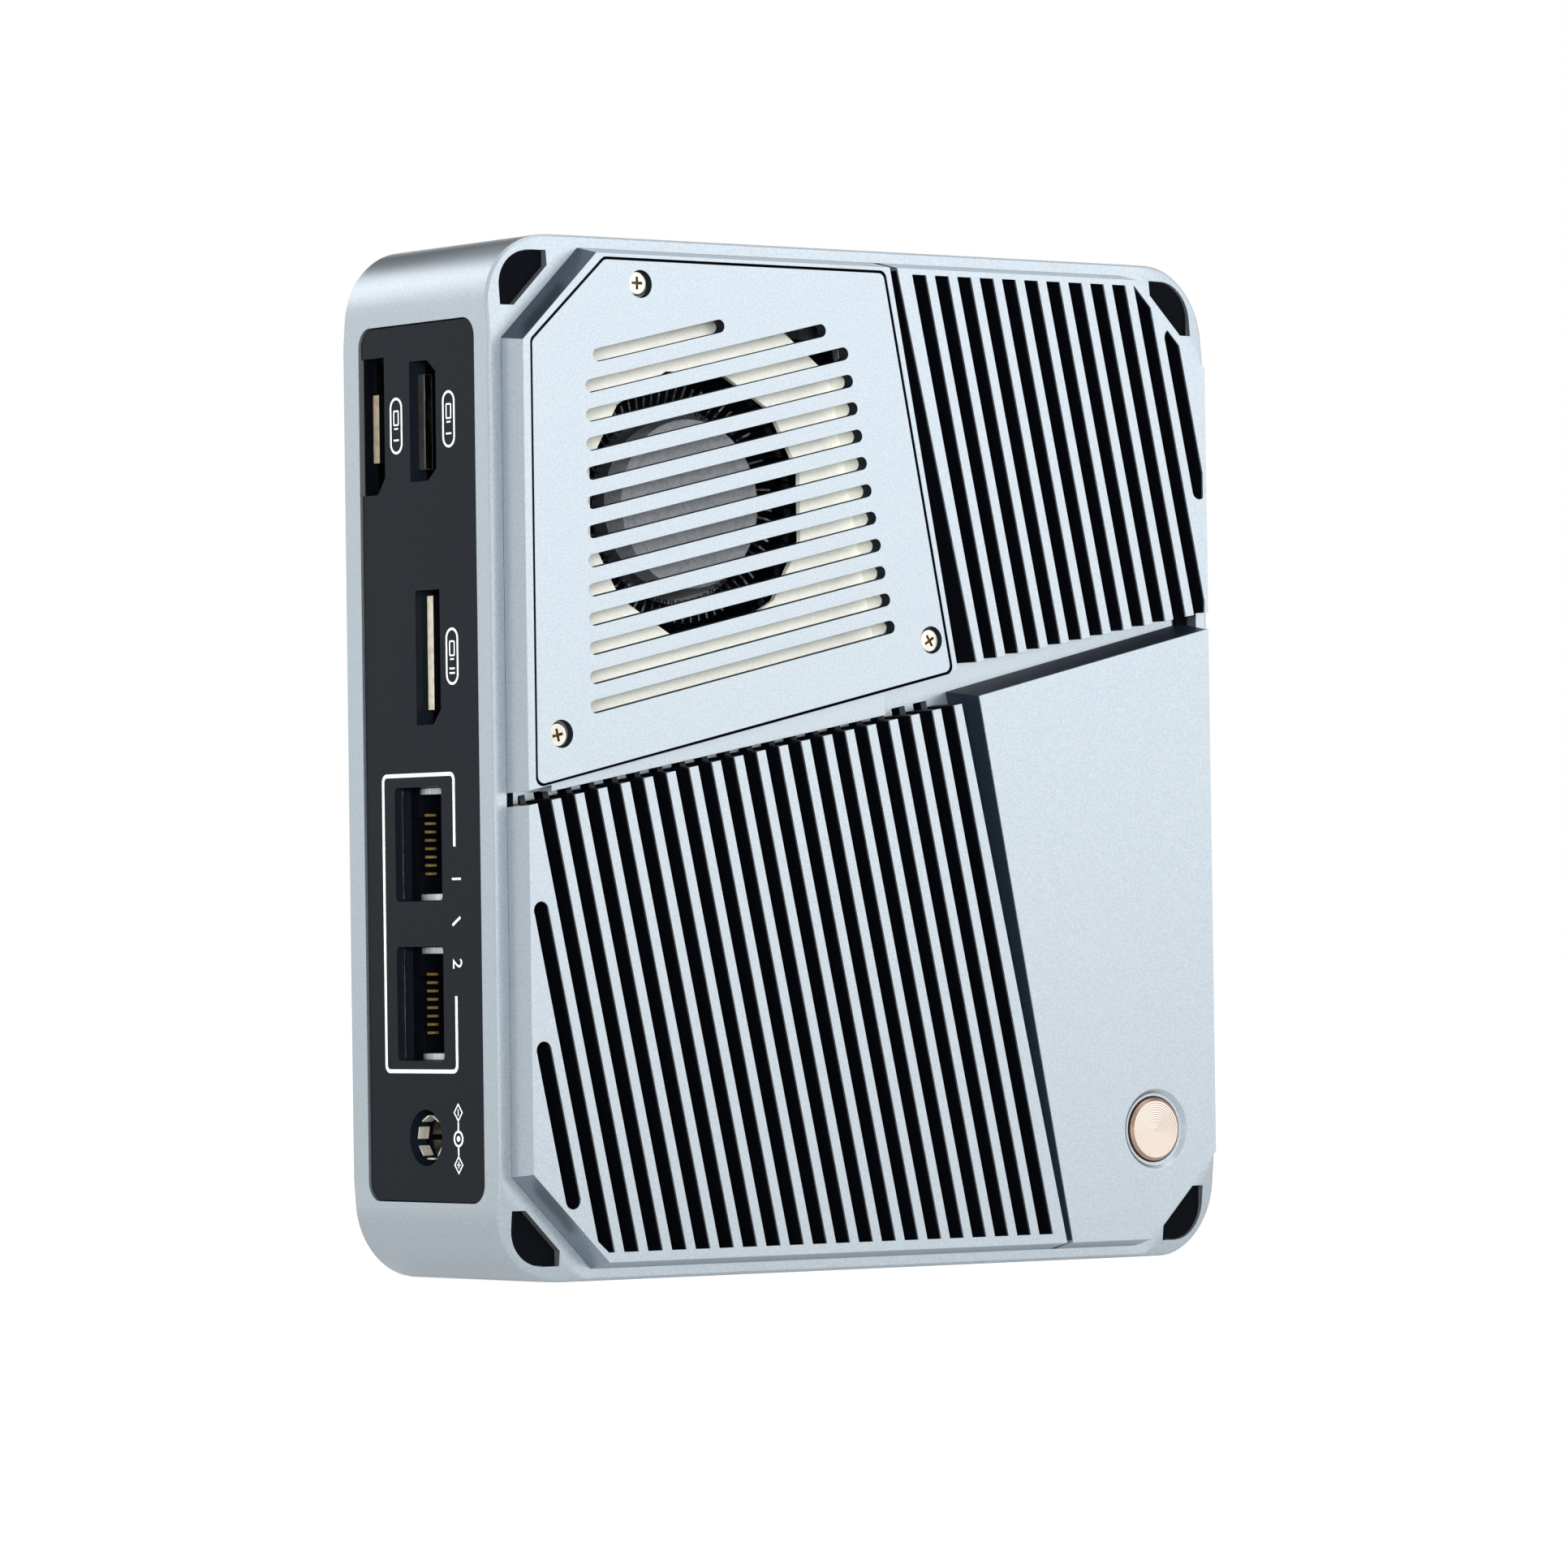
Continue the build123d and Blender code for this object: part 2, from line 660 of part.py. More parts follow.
with BuildPart() as fan_cover:
    with BuildSketch(front(plate_d)) as plate:
        Polygon(*cover_pts, align=None)
        fillet(plate.vertices(), 0.9)
    extrude(amount=-plate_t)
    # slanted vents with round ends
    with BuildSketch(front(plate_d)):
        for i in range(vent_count):
            left_x = vent_left if i else vent_left + 1.4
            right_x = vent_right_ends[min(i, 2)] + vent_right_step * max(i - 2, 0)
            mid_x = (left_x + right_x) / 2
            row_z = vent_top_z - i * vent_pitch + (mid_x - vent_left) * tan(radians(vent_deg))
            with Locations((mid_x, row_z)):
                SlotOverall(right_x - left_x + 0.7, vent_h, rotation=vent_deg)
    extrude(amount=-plate_t, mode=Mode.SUBTRACT)
    with BuildSketch(front(plate_d)):
        with Locations(*cover_screws):
            Circle(cover_screw_r + fit_gap)
    extrude(amount=-(cover_screw_sink + 0.6), mode=Mode.SUBTRACT)
    with BuildSketch(front(plate_d)):
        with Locations(*cover_screws):
            Circle(0.9)
    extrude(amount=-plate_t, mode=Mode.SUBTRACT)
write(fan_cover, "fan_cover")

for number, (screw_x, screw_z) in enumerate(cover_screws, 1):
    with BuildPart() as cover_screw:
        with BuildSketch(front(plate_d + cover_screw_sink)):
            with Locations((screw_x, screw_z)):
                Circle(cover_screw_r)
        extrude(amount=-0.6)
        fillet(cover_screw.faces().sort_by(Axis.Y)[0].edges(), 0.2)
        with BuildSketch(front(plate_d + cover_screw_sink)):
            with Locations((screw_x, screw_z)):
                Rectangle(1.5, 0.42, rotation=20 * number)
                Rectangle(0.42, 1.5, rotation=20 * number)
        extrude(amount=-0.35, mode=Mode.SUBTRACT)
        with BuildSketch(front(plate_d + cover_screw_sink + 0.6)):
            with Locations((screw_x, screw_z)):
                Circle(0.8)
        extrude(amount=-2.8)
    write(cover_screw, f"cover_screw_{number}")

# ----------------------------------------------------------------- blower
bracket_pts = [
    (left + 9.0, top - 15.4), (left + 17.2, top - 8.1), (-11.6, top - 8.1), (-1.3, top - 15.6),
    (5.1, mid_z + 14.9), (left + 9.0, mid_z + 3.1),
]
upstand_d = 3.9
upstand_t = 0.4
with BuildPart() as blower_bracket:
    with BuildSketch(front(bracket_d)):
        Polygon(*bracket_pts, align=None)
        with Locations((fan_x, fan_z)):
            RegularPolygon(bracket_hole_r, bracket_sides, rotation=15, mode=Mode.SUBTRACT)
    extrude(amount=-bracket_t)
    # upstand along the slanted end
    end_x, end_z = bracket_pts[3]
    low_x, low_z = bracket_pts[4]
    with BuildSketch(front(upstand_d)):
        Polygon((end_x, end_z), (low_x, low_z), (low_x - upstand_t, low_z), (end_x - upstand_t, end_z),
                align=None)
    extrude(amount=-(bracket_d - upstand_d + 0.1))
write(blower_bracket, "blower_bracket")

with BuildPart() as blower_housing:
    with BuildSketch(front(frame_back_d)):
        with Locations((fan_x, fan_z)):
            Circle(blower_r)
        with Locations((fan_x, (fan_z + duct_top_z) / 2)):
            Rectangle(2 * blower_r, duct_top_z - fan_z)
    extrude(amount=-blower_t)
    with BuildSketch(front(frame_back_d + blower_skin)):
        with Locations((fan_x, fan_z)):
            Circle(blower_r - blower_wall)
        with Locations((fan_x, (fan_z + duct_top_z) / 2)):
            Rectangle(2 * (blower_r - blower_wall), duct_top_z - fan_z)
    extrude(amount=-(blower_t - 2 * blower_skin), mode=Mode.SUBTRACT)
    with BuildSketch(front(frame_back_d)):
        with Locations((fan_x, fan_z)):
            Circle(inlet_r)
    extrude(amount=-blower_skin, mode=Mode.SUBTRACT)
write(blower_housing, "blower_housing")

stator_back = blower_back_d - blower_skin
with BuildPart() as stator:
    with BuildSketch(front(stator_back)):
        with Locations((fan_x, fan_z)):
            Circle(7.2)
            Circle(shaft_r + running_gap, mode=Mode.SUBTRACT)
    extrude(amount=0.6)
    with BuildSketch(front(stator_back - 0.6)):
        with Locations((fan_x, fan_z)):
            Circle(2.4)
            Circle(shaft_r + running_gap, mode=Mode.SUBTRACT)
    extrude(amount=2.8)
    with BuildSketch(front(stator_back - 1.0)):
        with Locations((fan_x, fan_z)):
            with PolarLocations(4.6, 6):
                Rectangle(4.6, 2.0)
            Circle(shaft_r + running_gap, mode=Mode.SUBTRACT)
    extrude(amount=1.8)
write(stator, "stator")

blade_front = hub_d + 1.0
blade_back = stator_back - 0.5
with BuildPart() as impeller:
    # hub cup
    with BuildSketch(front(hub_d)):
        with Locations((fan_x, fan_z)):
            Circle(hub_r)
    extrude(amount=-(blade_back - hub_d))
    fillet(impeller.faces().sort_by(Axis.Y)[0].edges(), 0.5)
    with BuildSketch(front(hub_d + 1.0)):
        with Locations((fan_x, fan_z)):
            Circle(hub_r - 1.0)
    extrude(amount=-blade_back, mode=Mode.SUBTRACT)
    with BuildSketch(front(hub_d)):
        with Locations((fan_x, fan_z)):
            Circle(shaft_r)
    extrude(amount=-1.0, mode=Mode.SUBTRACT)
    # disc that carries the blades
    with BuildSketch(front(blade_back - 0.6)):
        with Locations((fan_x, fan_z)):
            Circle(blade_in_r + 0.8)
            Circle(hub_r - 0.5, mode=Mode.SUBTRACT)
    extrude(amount=-0.6)
    # blades curve back from the hub's disc
    with BuildSketch(front(blade_front)):
        with Locations((fan_x, fan_z)):
            with PolarLocations(0, blade_count):
                with Locations(((blade_in_r + impeller_r) / 2, -0.6)):
                    Rectangle(impeller_r - blade_in_r - 0.3, blade_t, rotation=-14)
    extrude(amount=-(blade_back - blade_front))
    with BuildSketch(front(blade_back - 0.6)):
        with Locations((fan_x, fan_z)):
            Circle(impeller_r)
            Circle(impeller_r - 0.7, mode=Mode.SUBTRACT)
    extrude(amount=-0.6)
write(impeller, "impeller")

with BuildPart() as rotor_magnet:
    with BuildSketch(front(hub_d + 1.0)):
        with Locations((fan_x, fan_z)):
            Circle(hub_r - 1.0)
            Circle(hub_r - 2.2, mode=Mode.SUBTRACT)
    extrude(amount=-(blade_back - hub_d - 1.0))
write(rotor_magnet, "rotor_magnet")

with BuildPart() as fan_shaft:
    with BuildSketch(front(hub_d)):
        with Locations((fan_x, fan_z)):
            Circle(shaft_r)
    extrude(amount=-(stator_back - hub_d - 0.1))
write(fan_shaft, "fan_shaft")

# ---------------------------------------------------------- left port panel
wide_cut = [(-2.8, 5.9), (-2.8, -5.9), (-1.0, -7.3), (2.7, -7.3), (2.7, 7.3), (-1.0, 7.3)]
video1_cut = [(-2.4, 8.4), (-2.4, -6.3), (-0.8, -8.3), (2.8, -8.3), (2.8, 8.4)]
video2_cut = [(-2.6, 8.1), (-2.6, -6.4), (-1.0, -8.2), (2.5, -8.2), (2.5, 8.1)]
panel_x = -case_w / 2 + panel_sink


def lan_cutout(z):
    """Opening for one network jack."""
    with Locations((y_at(lan_d), z)):
        RectangleRounded(lan_cut_w, lan_cut_h, 0.6)


with BuildPart() as port_panel:
    with BuildSketch(Plane.YZ.offset(panel_x)):
        with Locations((port_mid_y, port_mid_z)):
            RectangleRounded(port_w - 2 * fit_gap, port_h - 2 * fit_gap, port_open_r - fit_gap)
    extrude(amount=panel_t)
    with BuildSketch(Plane.YZ.offset(panel_x + panel_t)):
        with Locations((port_mid_y, port_mid_z)):
            RectangleRounded(port_w + 2 * panel_lip, port_h + 2 * panel_lip_z, port_open_r)
    extrude(amount=0.9)
    with BuildSketch(Plane.YZ.offset(panel_x)) as cutouts:
        Polygon(*cut_around(wide_d, wide_z, wide_cut), align=None)
        Polygon(*cut_around(video2_d, video2_z, video2_cut), align=None)
        Polygon(*cut_around(video1_d, video1_z, video1_cut), align=None)
        for z in lan_z:
            lan_cutout(z)
        with Locations((y_at(dc_d), dc_z)):
            Circle(dc_hole_r)
    extrude(amount=panel_t + 0.9, mode=Mode.SUBTRACT)
write(port_panel, "port_panel")

port_x = panel_x + panel_t + 0.9


def video_outline(depth, z, grow):
    """Screen socket outline with one cut corner."""
    half = 8.05 + grow
    thick = 2.4 + grow
    return side_pts([
        (depth - thick, z + half), (depth - thick, z - half + 1.8),
        (depth - thick + 1.8, z - half), (depth + thick, z - half), (depth + thick, z + half),
    ])


def wide_outline(grow):
    """Wide port outline with two stepped corners."""
    half = 7.1 + grow
    thick = 2.4 + grow
    return side_pts([
        (wide_d - thick, wide_z + half - 1.4), (wide_d - thick, wide_z - half + 1.4),
        (wide_d - thick + 1.6, wide_z - half), (wide_d + thick, wide_z - half),
        (wide_d + thick, wide_z + half), (wide_d - thick + 1.6, wide_z + half),
    ])


with BuildPart() as wide_video_port:
    with BuildSketch(Plane.YZ.offset(port_x)):
        Polygon(*wide_outline(shell_t), align=None)
    extrude(amount=port_len)
    with BuildSketch(Plane.YZ.offset(port_x)):
        Polygon(*wide_outline(0), align=None)
    extrude(amount=port_len - 1.0, mode=Mode.SUBTRACT)
    # solder legs down to the board
    with BuildSketch(Plane.YZ.offset(port_x + 2)):
        with Locations((y_at((wide_d + 2.4 + board_d) / 2), wide_z - 6.4),
                       (y_at((wide_d + 2.4 + board_d) / 2), wide_z + 6.4)):
            Rectangle(board_d - wide_d - 2.4, 1.4)
    extrude(amount=7)
write(wide_video_port, "wide_video_port")

with BuildPart() as wide_video_tongue:
    with BuildSketch(Plane.YZ.offset(port_x + 2.0)):
        with Locations((y_at(wide_d + 0.4), wide_z)):
            Rectangle(1.5, 10.6)
    extrude(amount=port_len - 3.0)
write(wide_video_tongue, "wide_video_tongue")

for number, (video_d, video_z) in enumerate([(video1_d, video1_z), (video2_d, video2_z)], 1):
    board_side = board_back_d if number == 1 else board_d
    leg_edge = video_d - 2.4 if number == 1 else video_d + 2.4
    with BuildPart() as video_port:
        with BuildSketch(Plane.YZ.offset(port_x)):
            Polygon(*video_outline(video_d, video_z, shell_t), align=None)
        extrude(amount=port_len)
        with BuildSketch(Plane.YZ.offset(port_x)):
            Polygon(*video_outline(video_d, video_z, 0), align=None)
        extrude(amount=port_len - 1.0, mode=Mode.SUBTRACT)
        with BuildSketch(Plane.YZ.offset(port_x + 2)):
            with Locations((y_at((leg_edge + board_side) / 2), video_z - 5.6),
                           (y_at((leg_edge + board_side) / 2), video_z + 6.6)):
                Rectangle(abs(leg_edge - board_side), 1.4)
        extrude(amount=7)
    write(video_port, f"video_port_{number}")
    with BuildPart() as video_tongue:
        with BuildSketch(Plane.YZ.offset(port_x + 1.2)):
            with Locations((y_at(video_d - 0.2), video_z + 0.4)):
                Rectangle(1.3, 13.0)
        extrude(amount=port_len - 2.2)
    write(video_tongue, f"video_tongue_{number}")

for number, z in enumerate(lan_z, 1):
    with BuildPart() as lan_port:
        with BuildSketch(Plane.YZ.offset(port_x)):
            with Locations((y_at(lan_d), z)):
                Rectangle(lan_shell_w, lan_shell_h)
        extrude(amount=lan_len)
        # plug cavity with the narrower latch step on the near side
        with BuildSketch(Plane.YZ.offset(port_x)):
            with Locations((y_at(lan_d - 1.0), z)):
                Rectangle(7.0, 12.0)
            with Locations((y_at(lan_d + 3.6), z)):
                Rectangle(2.4, 6.6)
        extrude(amount=lan_len - 6.0, mode=Mode.SUBTRACT)
    write(lan_port, f"network_port_{number}")
    with BuildPart() as lan_contacts:
        with BuildSketch(Plane.YZ.offset(port_x + 2.4)):
            with Locations((y_at(lan_d - 1.0 - 3.5 + 0.4), z)):
                Rectangle(0.8, 10.4)
        extrude(amount=lan_len - 8.4)
        with BuildSketch(Plane.YZ.offset(port_x + 3.4)):
            for i in range(8):
                with Locations((y_at(lan_d - 2.5), z + (i - 3.5) * contact_pitch)):
                    Rectangle(2.4, 0.42)
        extrude(amount=9.0)
    write(lan_contacts, f"network_contacts_{number}")

with BuildPart() as dc_jack:
    with BuildSketch(Plane.YZ.offset(port_x)):
        with Locations((y_at(dc_d), dc_z)):
            Rectangle(2 * (board_d - dc_d), 9.0)
            Circle(2.95, mode=Mode.SUBTRACT)
    extrude(amount=11.5)
    with BuildSketch(Plane.YZ.offset(port_x + 11.5)):
        with Locations((y_at(dc_d), dc_z)):
            Rectangle(2 * (board_d - dc_d), 9.0)
    extrude(amount=1.5)
write(dc_jack, "dc_jack")

with BuildPart() as dc_contact:
    with BuildSketch(Plane.YZ.offset(port_x + 0.6)):
        with Locations((y_at(dc_d), dc_z)):
            Circle(2.95)
            Circle(2.6, mode=Mode.SUBTRACT)
            with PolarLocations(2.7, 6):
                Rectangle(1.4, 0.7, mode=Mode.SUBTRACT)
    extrude(amount=10.9)
    with BuildSketch(Plane.YZ.offset(port_x + 10.9)):
        with Locations((y_at(dc_d), dc_z)):
            Circle(2.95)
    extrude(amount=0.6)
    with BuildSketch(Plane.YZ.offset(port_x + 3.0)):
        with Locations((y_at(dc_d), dc_z)):
            Circle(1.0)
    extrude(amount=8.0)
write(dc_contact, "dc_contact")

# -------------------------------------------------------- right side panel
right_x = case_w / 2 - panel_sink
right_port_x = right_x - panel_t - 0.9
data_w = 5.6
data_h = 13.2
with BuildPart() as io_panel:
    with BuildSketch(Plane.YZ.offset(right_x)):
        with Locations((port_mid_y, port_mid_z)):
            RectangleRounded(port_w - 2 * fit_gap, port_h - 2 * fit_gap, port_open_r - fit_gap)
    extrude(amount=-panel_t)
    with BuildSketch(Plane.YZ.offset(right_x - panel_t)):
        with Locations((port_mid_y, port_mid_z)):
            RectangleRounded(port_w + 2 * panel_lip, port_h + 2 * panel_lip_z, port_open_r)
    extrude(amount=-0.9)
    with BuildSketch(Plane.YZ.offset(right_x)):
        for z in data_z:
            with Locations((y_at(io_d), z)):
                Rectangle(data_w + 0.4, data_h + 0.4)
        with Locations((y_at(io_d), small_data_z)):
            SlotOverall(9.2, 3.4, rotation=90)
        with Locations((y_at(io_d), audio_z)):
            Circle(2.2)
    extrude(amount=-(panel_t + 0.9), mode=Mode.SUBTRACT)
write(io_panel, "io_panel")

for number, z in enumerate(data_z, 1):
    with BuildPart() as data_port:
        with BuildSketch(Plane.YZ.offset(right_port_x)):
            with Locations((y_at(io_d), z)):
                Rectangle(data_w + 0.6, data_h + 0.6)
        extrude(amount=-14.0)
        with BuildSketch(Plane.YZ.offset(right_port_x)):
            with Locations((y_at(io_d), z)):
                Rectangle(data_w, data_h)
        extrude(amount=-12.5, mode=Mode.SUBTRACT)
        with BuildSketch(Plane.YZ.offset(right_port_x - 1.0)):
            with Locations((y_at(io_d + 1.3), z)):
                Rectangle(1.9, 11.0)
        extrude(amount=-12.0)
        with BuildSketch(Plane.YZ.offset(right_port_x - 3)):
            with Locations((y_at((io_d + data_w / 2 + board_d) / 2), z)):
                Rectangle(board_d - io_d - data_w / 2, 10.0)
        extrude(amount=-9)
    write(data_port, f"data_port_{number}")

with BuildPart() as small_data_port:
    with BuildSketch(Plane.YZ.offset(right_port_x)):
        with Locations((y_at(io_d), small_data_z)):
            SlotOverall(9.6, 3.8, rotation=90)
    extrude(amount=-8.0)
    with BuildSketch(Plane.YZ.offset(right_port_x)):
        with Locations((y_at(io_d), small_data_z)):
            SlotOverall(9.0, 3.2, rotation=90)
    extrude(amount=-6.8, mode=Mode.SUBTRACT)
    with BuildSketch(Plane.YZ.offset(right_port_x - 0.8)):
        with Locations((y_at(io_d), small_data_z)):
            Rectangle(0.8, 6.6)
    extrude(amount=-6.4)
    with BuildSketch(Plane.YZ.offset(right_port_x - 2)):
        with Locations((y_at((io_d + 1.7 + board_d) / 2), small_data_z)):
            Rectangle(board_d - io_d - 1.7, 6.0)
    extrude(amount=-5)
write(small_data_port, "small_data_port")

with BuildPart() as audio_jack:
    with BuildSketch(Plane.YZ.offset(right_port_x)):
        with Locations((y_at((io_d - 3.2 + board_d) / 2), audio_z)):
            Rectangle(board_d - io_d + 3.2, 6.6)
        with Locations((y_at(io_d), audio_z)):
            Circle(1.85, mode=Mode.SUBTRACT)
    extrude(amount=-12.0)
    with BuildSketch(Plane.YZ.offset(right_port_x - 12)):
        with Locations((y_at((io_d - 3.2 + board_d) / 2), audio_z)):
            Rectangle(board_d - io_d + 3.2, 6.6)
    extrude(amount=-1.2)
write(audio_jack, "audio_jack")

# ------------------------------------------------------------- electronics
board_w = case_w - 2 * wall - 4.6
board_h = case_h - 2 * wall - 4.0
with BuildPart() as mainboard:
    with BuildSketch(front(board_d)):
        with Locations((0, mid_z)):
            RectangleRounded(board_w, board_h, 6.0)
        for z in lan_z:
            with Locations((port_x + lan_len / 2, z)):
                Rectangle(lan_len + 0.4, lan_shell_h + 0.4, mode=Mode.SUBTRACT)
    extrude(amount=-board_t)
write(mainboard, "mainboard")

cpu_x = 16.0
cpu_z = 44.0
with BuildPart() as cpu_package:
    with BuildSketch(front(board_d)):
        with Locations((cpu_x, cpu_z)):
            Rectangle(25.0, 35.0)
    extrude(amount=0.7)
    with BuildSketch(front(board_d - 0.7)):
        with Locations((cpu_x, cpu_z)):
            Rectangle(10.0, 15.0)
    extrude(amount=0.6)
write(cpu_package, "cpu_package")

plate_back = board_d - 1.3
pipe_t = 2.6
pipe_w = 8.0
pipe_top_z = stack_top_z - pipe_w / 2 - 0.7
with BuildPart() as cold_plate:
    with BuildSketch(front(plate_back)):
        with Locations((cpu_x, cpu_z)):
            Rectangle(40.0, 44.0)
    extrude(amount=1.8)
write(cold_plate, "cold_plate")

pipe_d = plate_back - 1.8 - pipe_t
with BuildPart() as heat_pipe:
    with BuildSketch(front(pipe_d)):
        with BuildLine():
            pipe_line = FilletPolyline((cpu_x, cpu_z - 16.0), (cpu_x, cpu_z + 18.0), (9.5, cpu_z + 32.0),
                                       (9.5, pipe_top_z), (fan_x - 19.5, pipe_top_z), radius=7.5)
        trace(pipe_line, line_width=pipe_w)
    extrude(amount=-pipe_t)
write(heat_pipe, "heat_pipe")

stack_d = 8.6
with BuildPart() as fin_stack:
    with BuildSketch(front(stack_d)):
        with Locations((fan_x + 0.5, (duct_top_z + stack_top_z) / 2)):
            Rectangle(45.0, stack_top_z - duct_top_z)
    extrude(amount=-0.5)
    with BuildSketch(front(pipe_d - 0.5)):
        with Locations((fan_x + 0.5, (duct_top_z + stack_top_z) / 2)):
            Rectangle(45.0, stack_top_z - duct_top_z)
    extrude(amount=-0.5)
    with BuildSketch(front(stack_d + 0.5)):
        with Locations((fan_x + 0.5, (duct_top_z + stack_top_z) / 2)):
            with GridLocations(1.775, 1, 26, 1):
                Rectangle(0.3, stack_top_z - duct_top_z)
    extrude(amount=-(pipe_d - stack_d - 1.0))
write(fin_stack, "fin_stack")

mem_x = right - 44.0
mem_z = top - 36.0
with BuildPart() as memory_socket:
    with BuildSketch(front(board_back_d)):
        with Locations((mem_x, mem_z + 16.0)):
            Rectangle(73.0, 6.0)
    extrude(amount=-4.0)
    with BuildSketch(front(board_back_d + 1.6)):
        with Locations((mem_x, mem_z + 14.6)):
            Rectangle(68.4, 3.2)
    extrude(amount=-1.2, mode=Mode.SUBTRACT)
write(memory_socket, "memory_socket")

with BuildPart() as memory_module:
    with BuildSketch(front(board_back_d + 1.6)):
        with Locations((mem_x, mem_z)):
            Rectangle(67.6, 30.0)
    extrude(amount=-1.1)
    with BuildSketch(front(board_back_d + 2.7)):
        with Locations((mem_x, mem_z - 2.6)):
            with GridLocations(16.0, 1, 4, 1):
                Rectangle(11.0, 12.0)
    extrude(amount=-1.0)
    with BuildSketch(front(board_back_d)):
        with Locations((mem_x - 30, mem_z - 13.0), (mem_x + 30, mem_z - 13.0)):
            Rectangle(2.4, 3.0)
    extrude(amount=-1.6)
write(memory_module, "memory_module")

card_w = 22.0
ssd_len = 60.0
ssd_x = right - 44.0
ssd_z = 23.5
with BuildPart() as ssd:
    with BuildSketch(front(board_back_d)):
        with Locations((ssd_x - ssd_len / 2, ssd_z)):
            Rectangle(6.0, card_w)
    extrude(amount=-3.4)
    with BuildSketch(front(board_back_d + 2.2)):
        with Locations((ssd_x, ssd_z)):
            Rectangle(ssd_len, card_w)
    extrude(amount=-0.8)
    with BuildSketch(front(board_back_d + 3.0)):
        with Locations((ssd_x - 15.0, ssd_z), (ssd_x + 9.0, ssd_z)):
            Rectangle(14.0, 16.0)
    extrude(amount=-1.3)
    with BuildSketch(front(board_back_d)):
        with Locations((ssd_x + ssd_len / 2 - 3.0, ssd_z)):
            Circle(2.4)
    extrude(amount=-2.2)
write(ssd, "ssd")

card_x = left + 45.0
card_z = 48.0

with BuildPart() as radio_card:
    with BuildSketch(front(board_back_d)):
        with Locations((card_x - 17.0, card_z)):
            Rectangle(6.0, card_w)
    extrude(amount=-3.4)
    with BuildSketch(front(board_back_d + 2.2)):
        with Locations((card_x, card_z)):
            Rectangle(30.0, card_w)
    extrude(amount=-0.8)
    with BuildSketch(front(board_back_d + 3.0)):
        with Locations((card_x + 3.0, card_z)):
            Rectangle(18.0, 15.0)
    extrude(amount=-1.4)
    with BuildSketch(front(board_back_d)):
        with Locations((card_x + 12.0, card_z)):
            Circle(2.2)
    extrude(amount=-2.2)
write(radio_card, "radio_card")

with BuildPart() as button_cell:
    with BuildSketch(front(board_back_d)):
        with Locations((right - 28.0, 52.0)):
            Circle(10.0)
    extrude(amount=-3.2)
    fillet(button_cell.faces().sort_by(Axis.Y)[-1].edges(), 0.5)
write(button_cell, "button_cell")

# -------------------------------------------------- back cover, feet, screws
mount_pitch = 75.0
mount_hole_r = 2.0
foot_r = 5.0
foot_sink = 0.5
foot_x = case_w / 2 - 10.0
foot_z = case_h / 2 - 17.5
back_w = case_w - 2 * wall - 2 * fit_gap
back_h = case_h - 2 * wall - 2 * fit_gap
with BuildPart() as back_cover:
    with BuildSketch(front(cover_d)):
        with Locations((0, mid_z)):
            RectangleRounded(back_w, back_h, corner_r - wall - fit_gap)
    extrude(amount=-cover_t)
    for sx, sz in corners:
        with BuildSketch(dip_plane(sx, sz, ring_back_d, 1)):
            Rectangle(50.0, 30.0)
        extrude(amount=5.0, mode=Mode.SUBTRACT)
    # stiffening pads behind the mounting holes
    with BuildSketch(front(cover_d)):
        with Locations((0, mid_z)):
            with GridLocations(mount_pitch, mount_pitch, 2, 2):
                Circle(4.0)
    extrude(amount=1.6)
    with BuildSketch(front(ring_back_d)):
        with Locations((0, mid_z)):
            with GridLocations(mount_pitch, mount_pitch, 2, 2):
                Circle(mount_hole_r)
    extrude(amount=cover_t + 1.6, mode=Mode.SUBTRACT)
    with BuildSketch(front(ring_back_d)):
        with Locations(*boss_pts):
            Circle(2.5)
    extrude(amount=1.0, mode=Mode.SUBTRACT)
    with BuildSketch(front(ring_back_d)):
        with Locations(*boss_pts):
            Circle(1.4)
    extrude(amount=cover_t, mode=Mode.SUBTRACT)
    with BuildSketch(front(ring_back_d)):
        with Locations((0, mid_z)):
            with GridLocations(2 * foot_x, 2 * foot_z, 2, 2):
                Circle(foot_r)
    extrude(amount=foot_sink, mode=Mode.SUBTRACT)
    # intake holes over the memory
    with BuildSketch(front(ring_back_d)):
        with Locations((0, mid_z)):
            with GridLocations(5.0, 5.0, 11, 5):
                Circle(1.2)
    extrude(amount=cover_t, mode=Mode.SUBTRACT)
write(back_cover, "back_cover")

for number, (sx, sz) in enumerate(corners, 1):
    with BuildPart() as foot:
        with BuildSketch(front(ring_back_d - foot_sink)):
            with Locations((sx * foot_x, mid_z + sz * foot_z)):
                Circle(foot_r - 0.1)
        extrude(amount=-(foot_h + foot_sink))
        fillet(foot.faces().sort_by(Axis.Y)[-1].edges(), 0.5)
    write(foot, f"foot_{number}")
    with BuildPart() as back_screw:
        with BuildSketch(front(ring_back_d - 1.0)):
            with Locations((sx * boss_x, mid_z + sz * boss_z)):
                Circle(2.3)
        extrude(amount=-0.9)
        with BuildSketch(front(ring_back_d - 0.1)):
            with Locations((sx * boss_x, mid_z + sz * boss_z)):
                Rectangle(2.4, 0.5)
                Rectangle(0.5, 2.4)
        extrude(amount=0.5, mode=Mode.SUBTRACT)
        with BuildSketch(front(ring_back_d - 1.0)):
            with Locations((sx * boss_x, mid_z + sz * boss_z)):
                Circle(1.05)
        extrude(amount=6.0)
    write(back_screw, f"back_screw_{number}")
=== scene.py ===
import math

import bmesh
import bpy
from bpy.props import FloatProperty, FloatVectorProperty, IntProperty, PointerProperty
from mathutils import Matrix, Vector


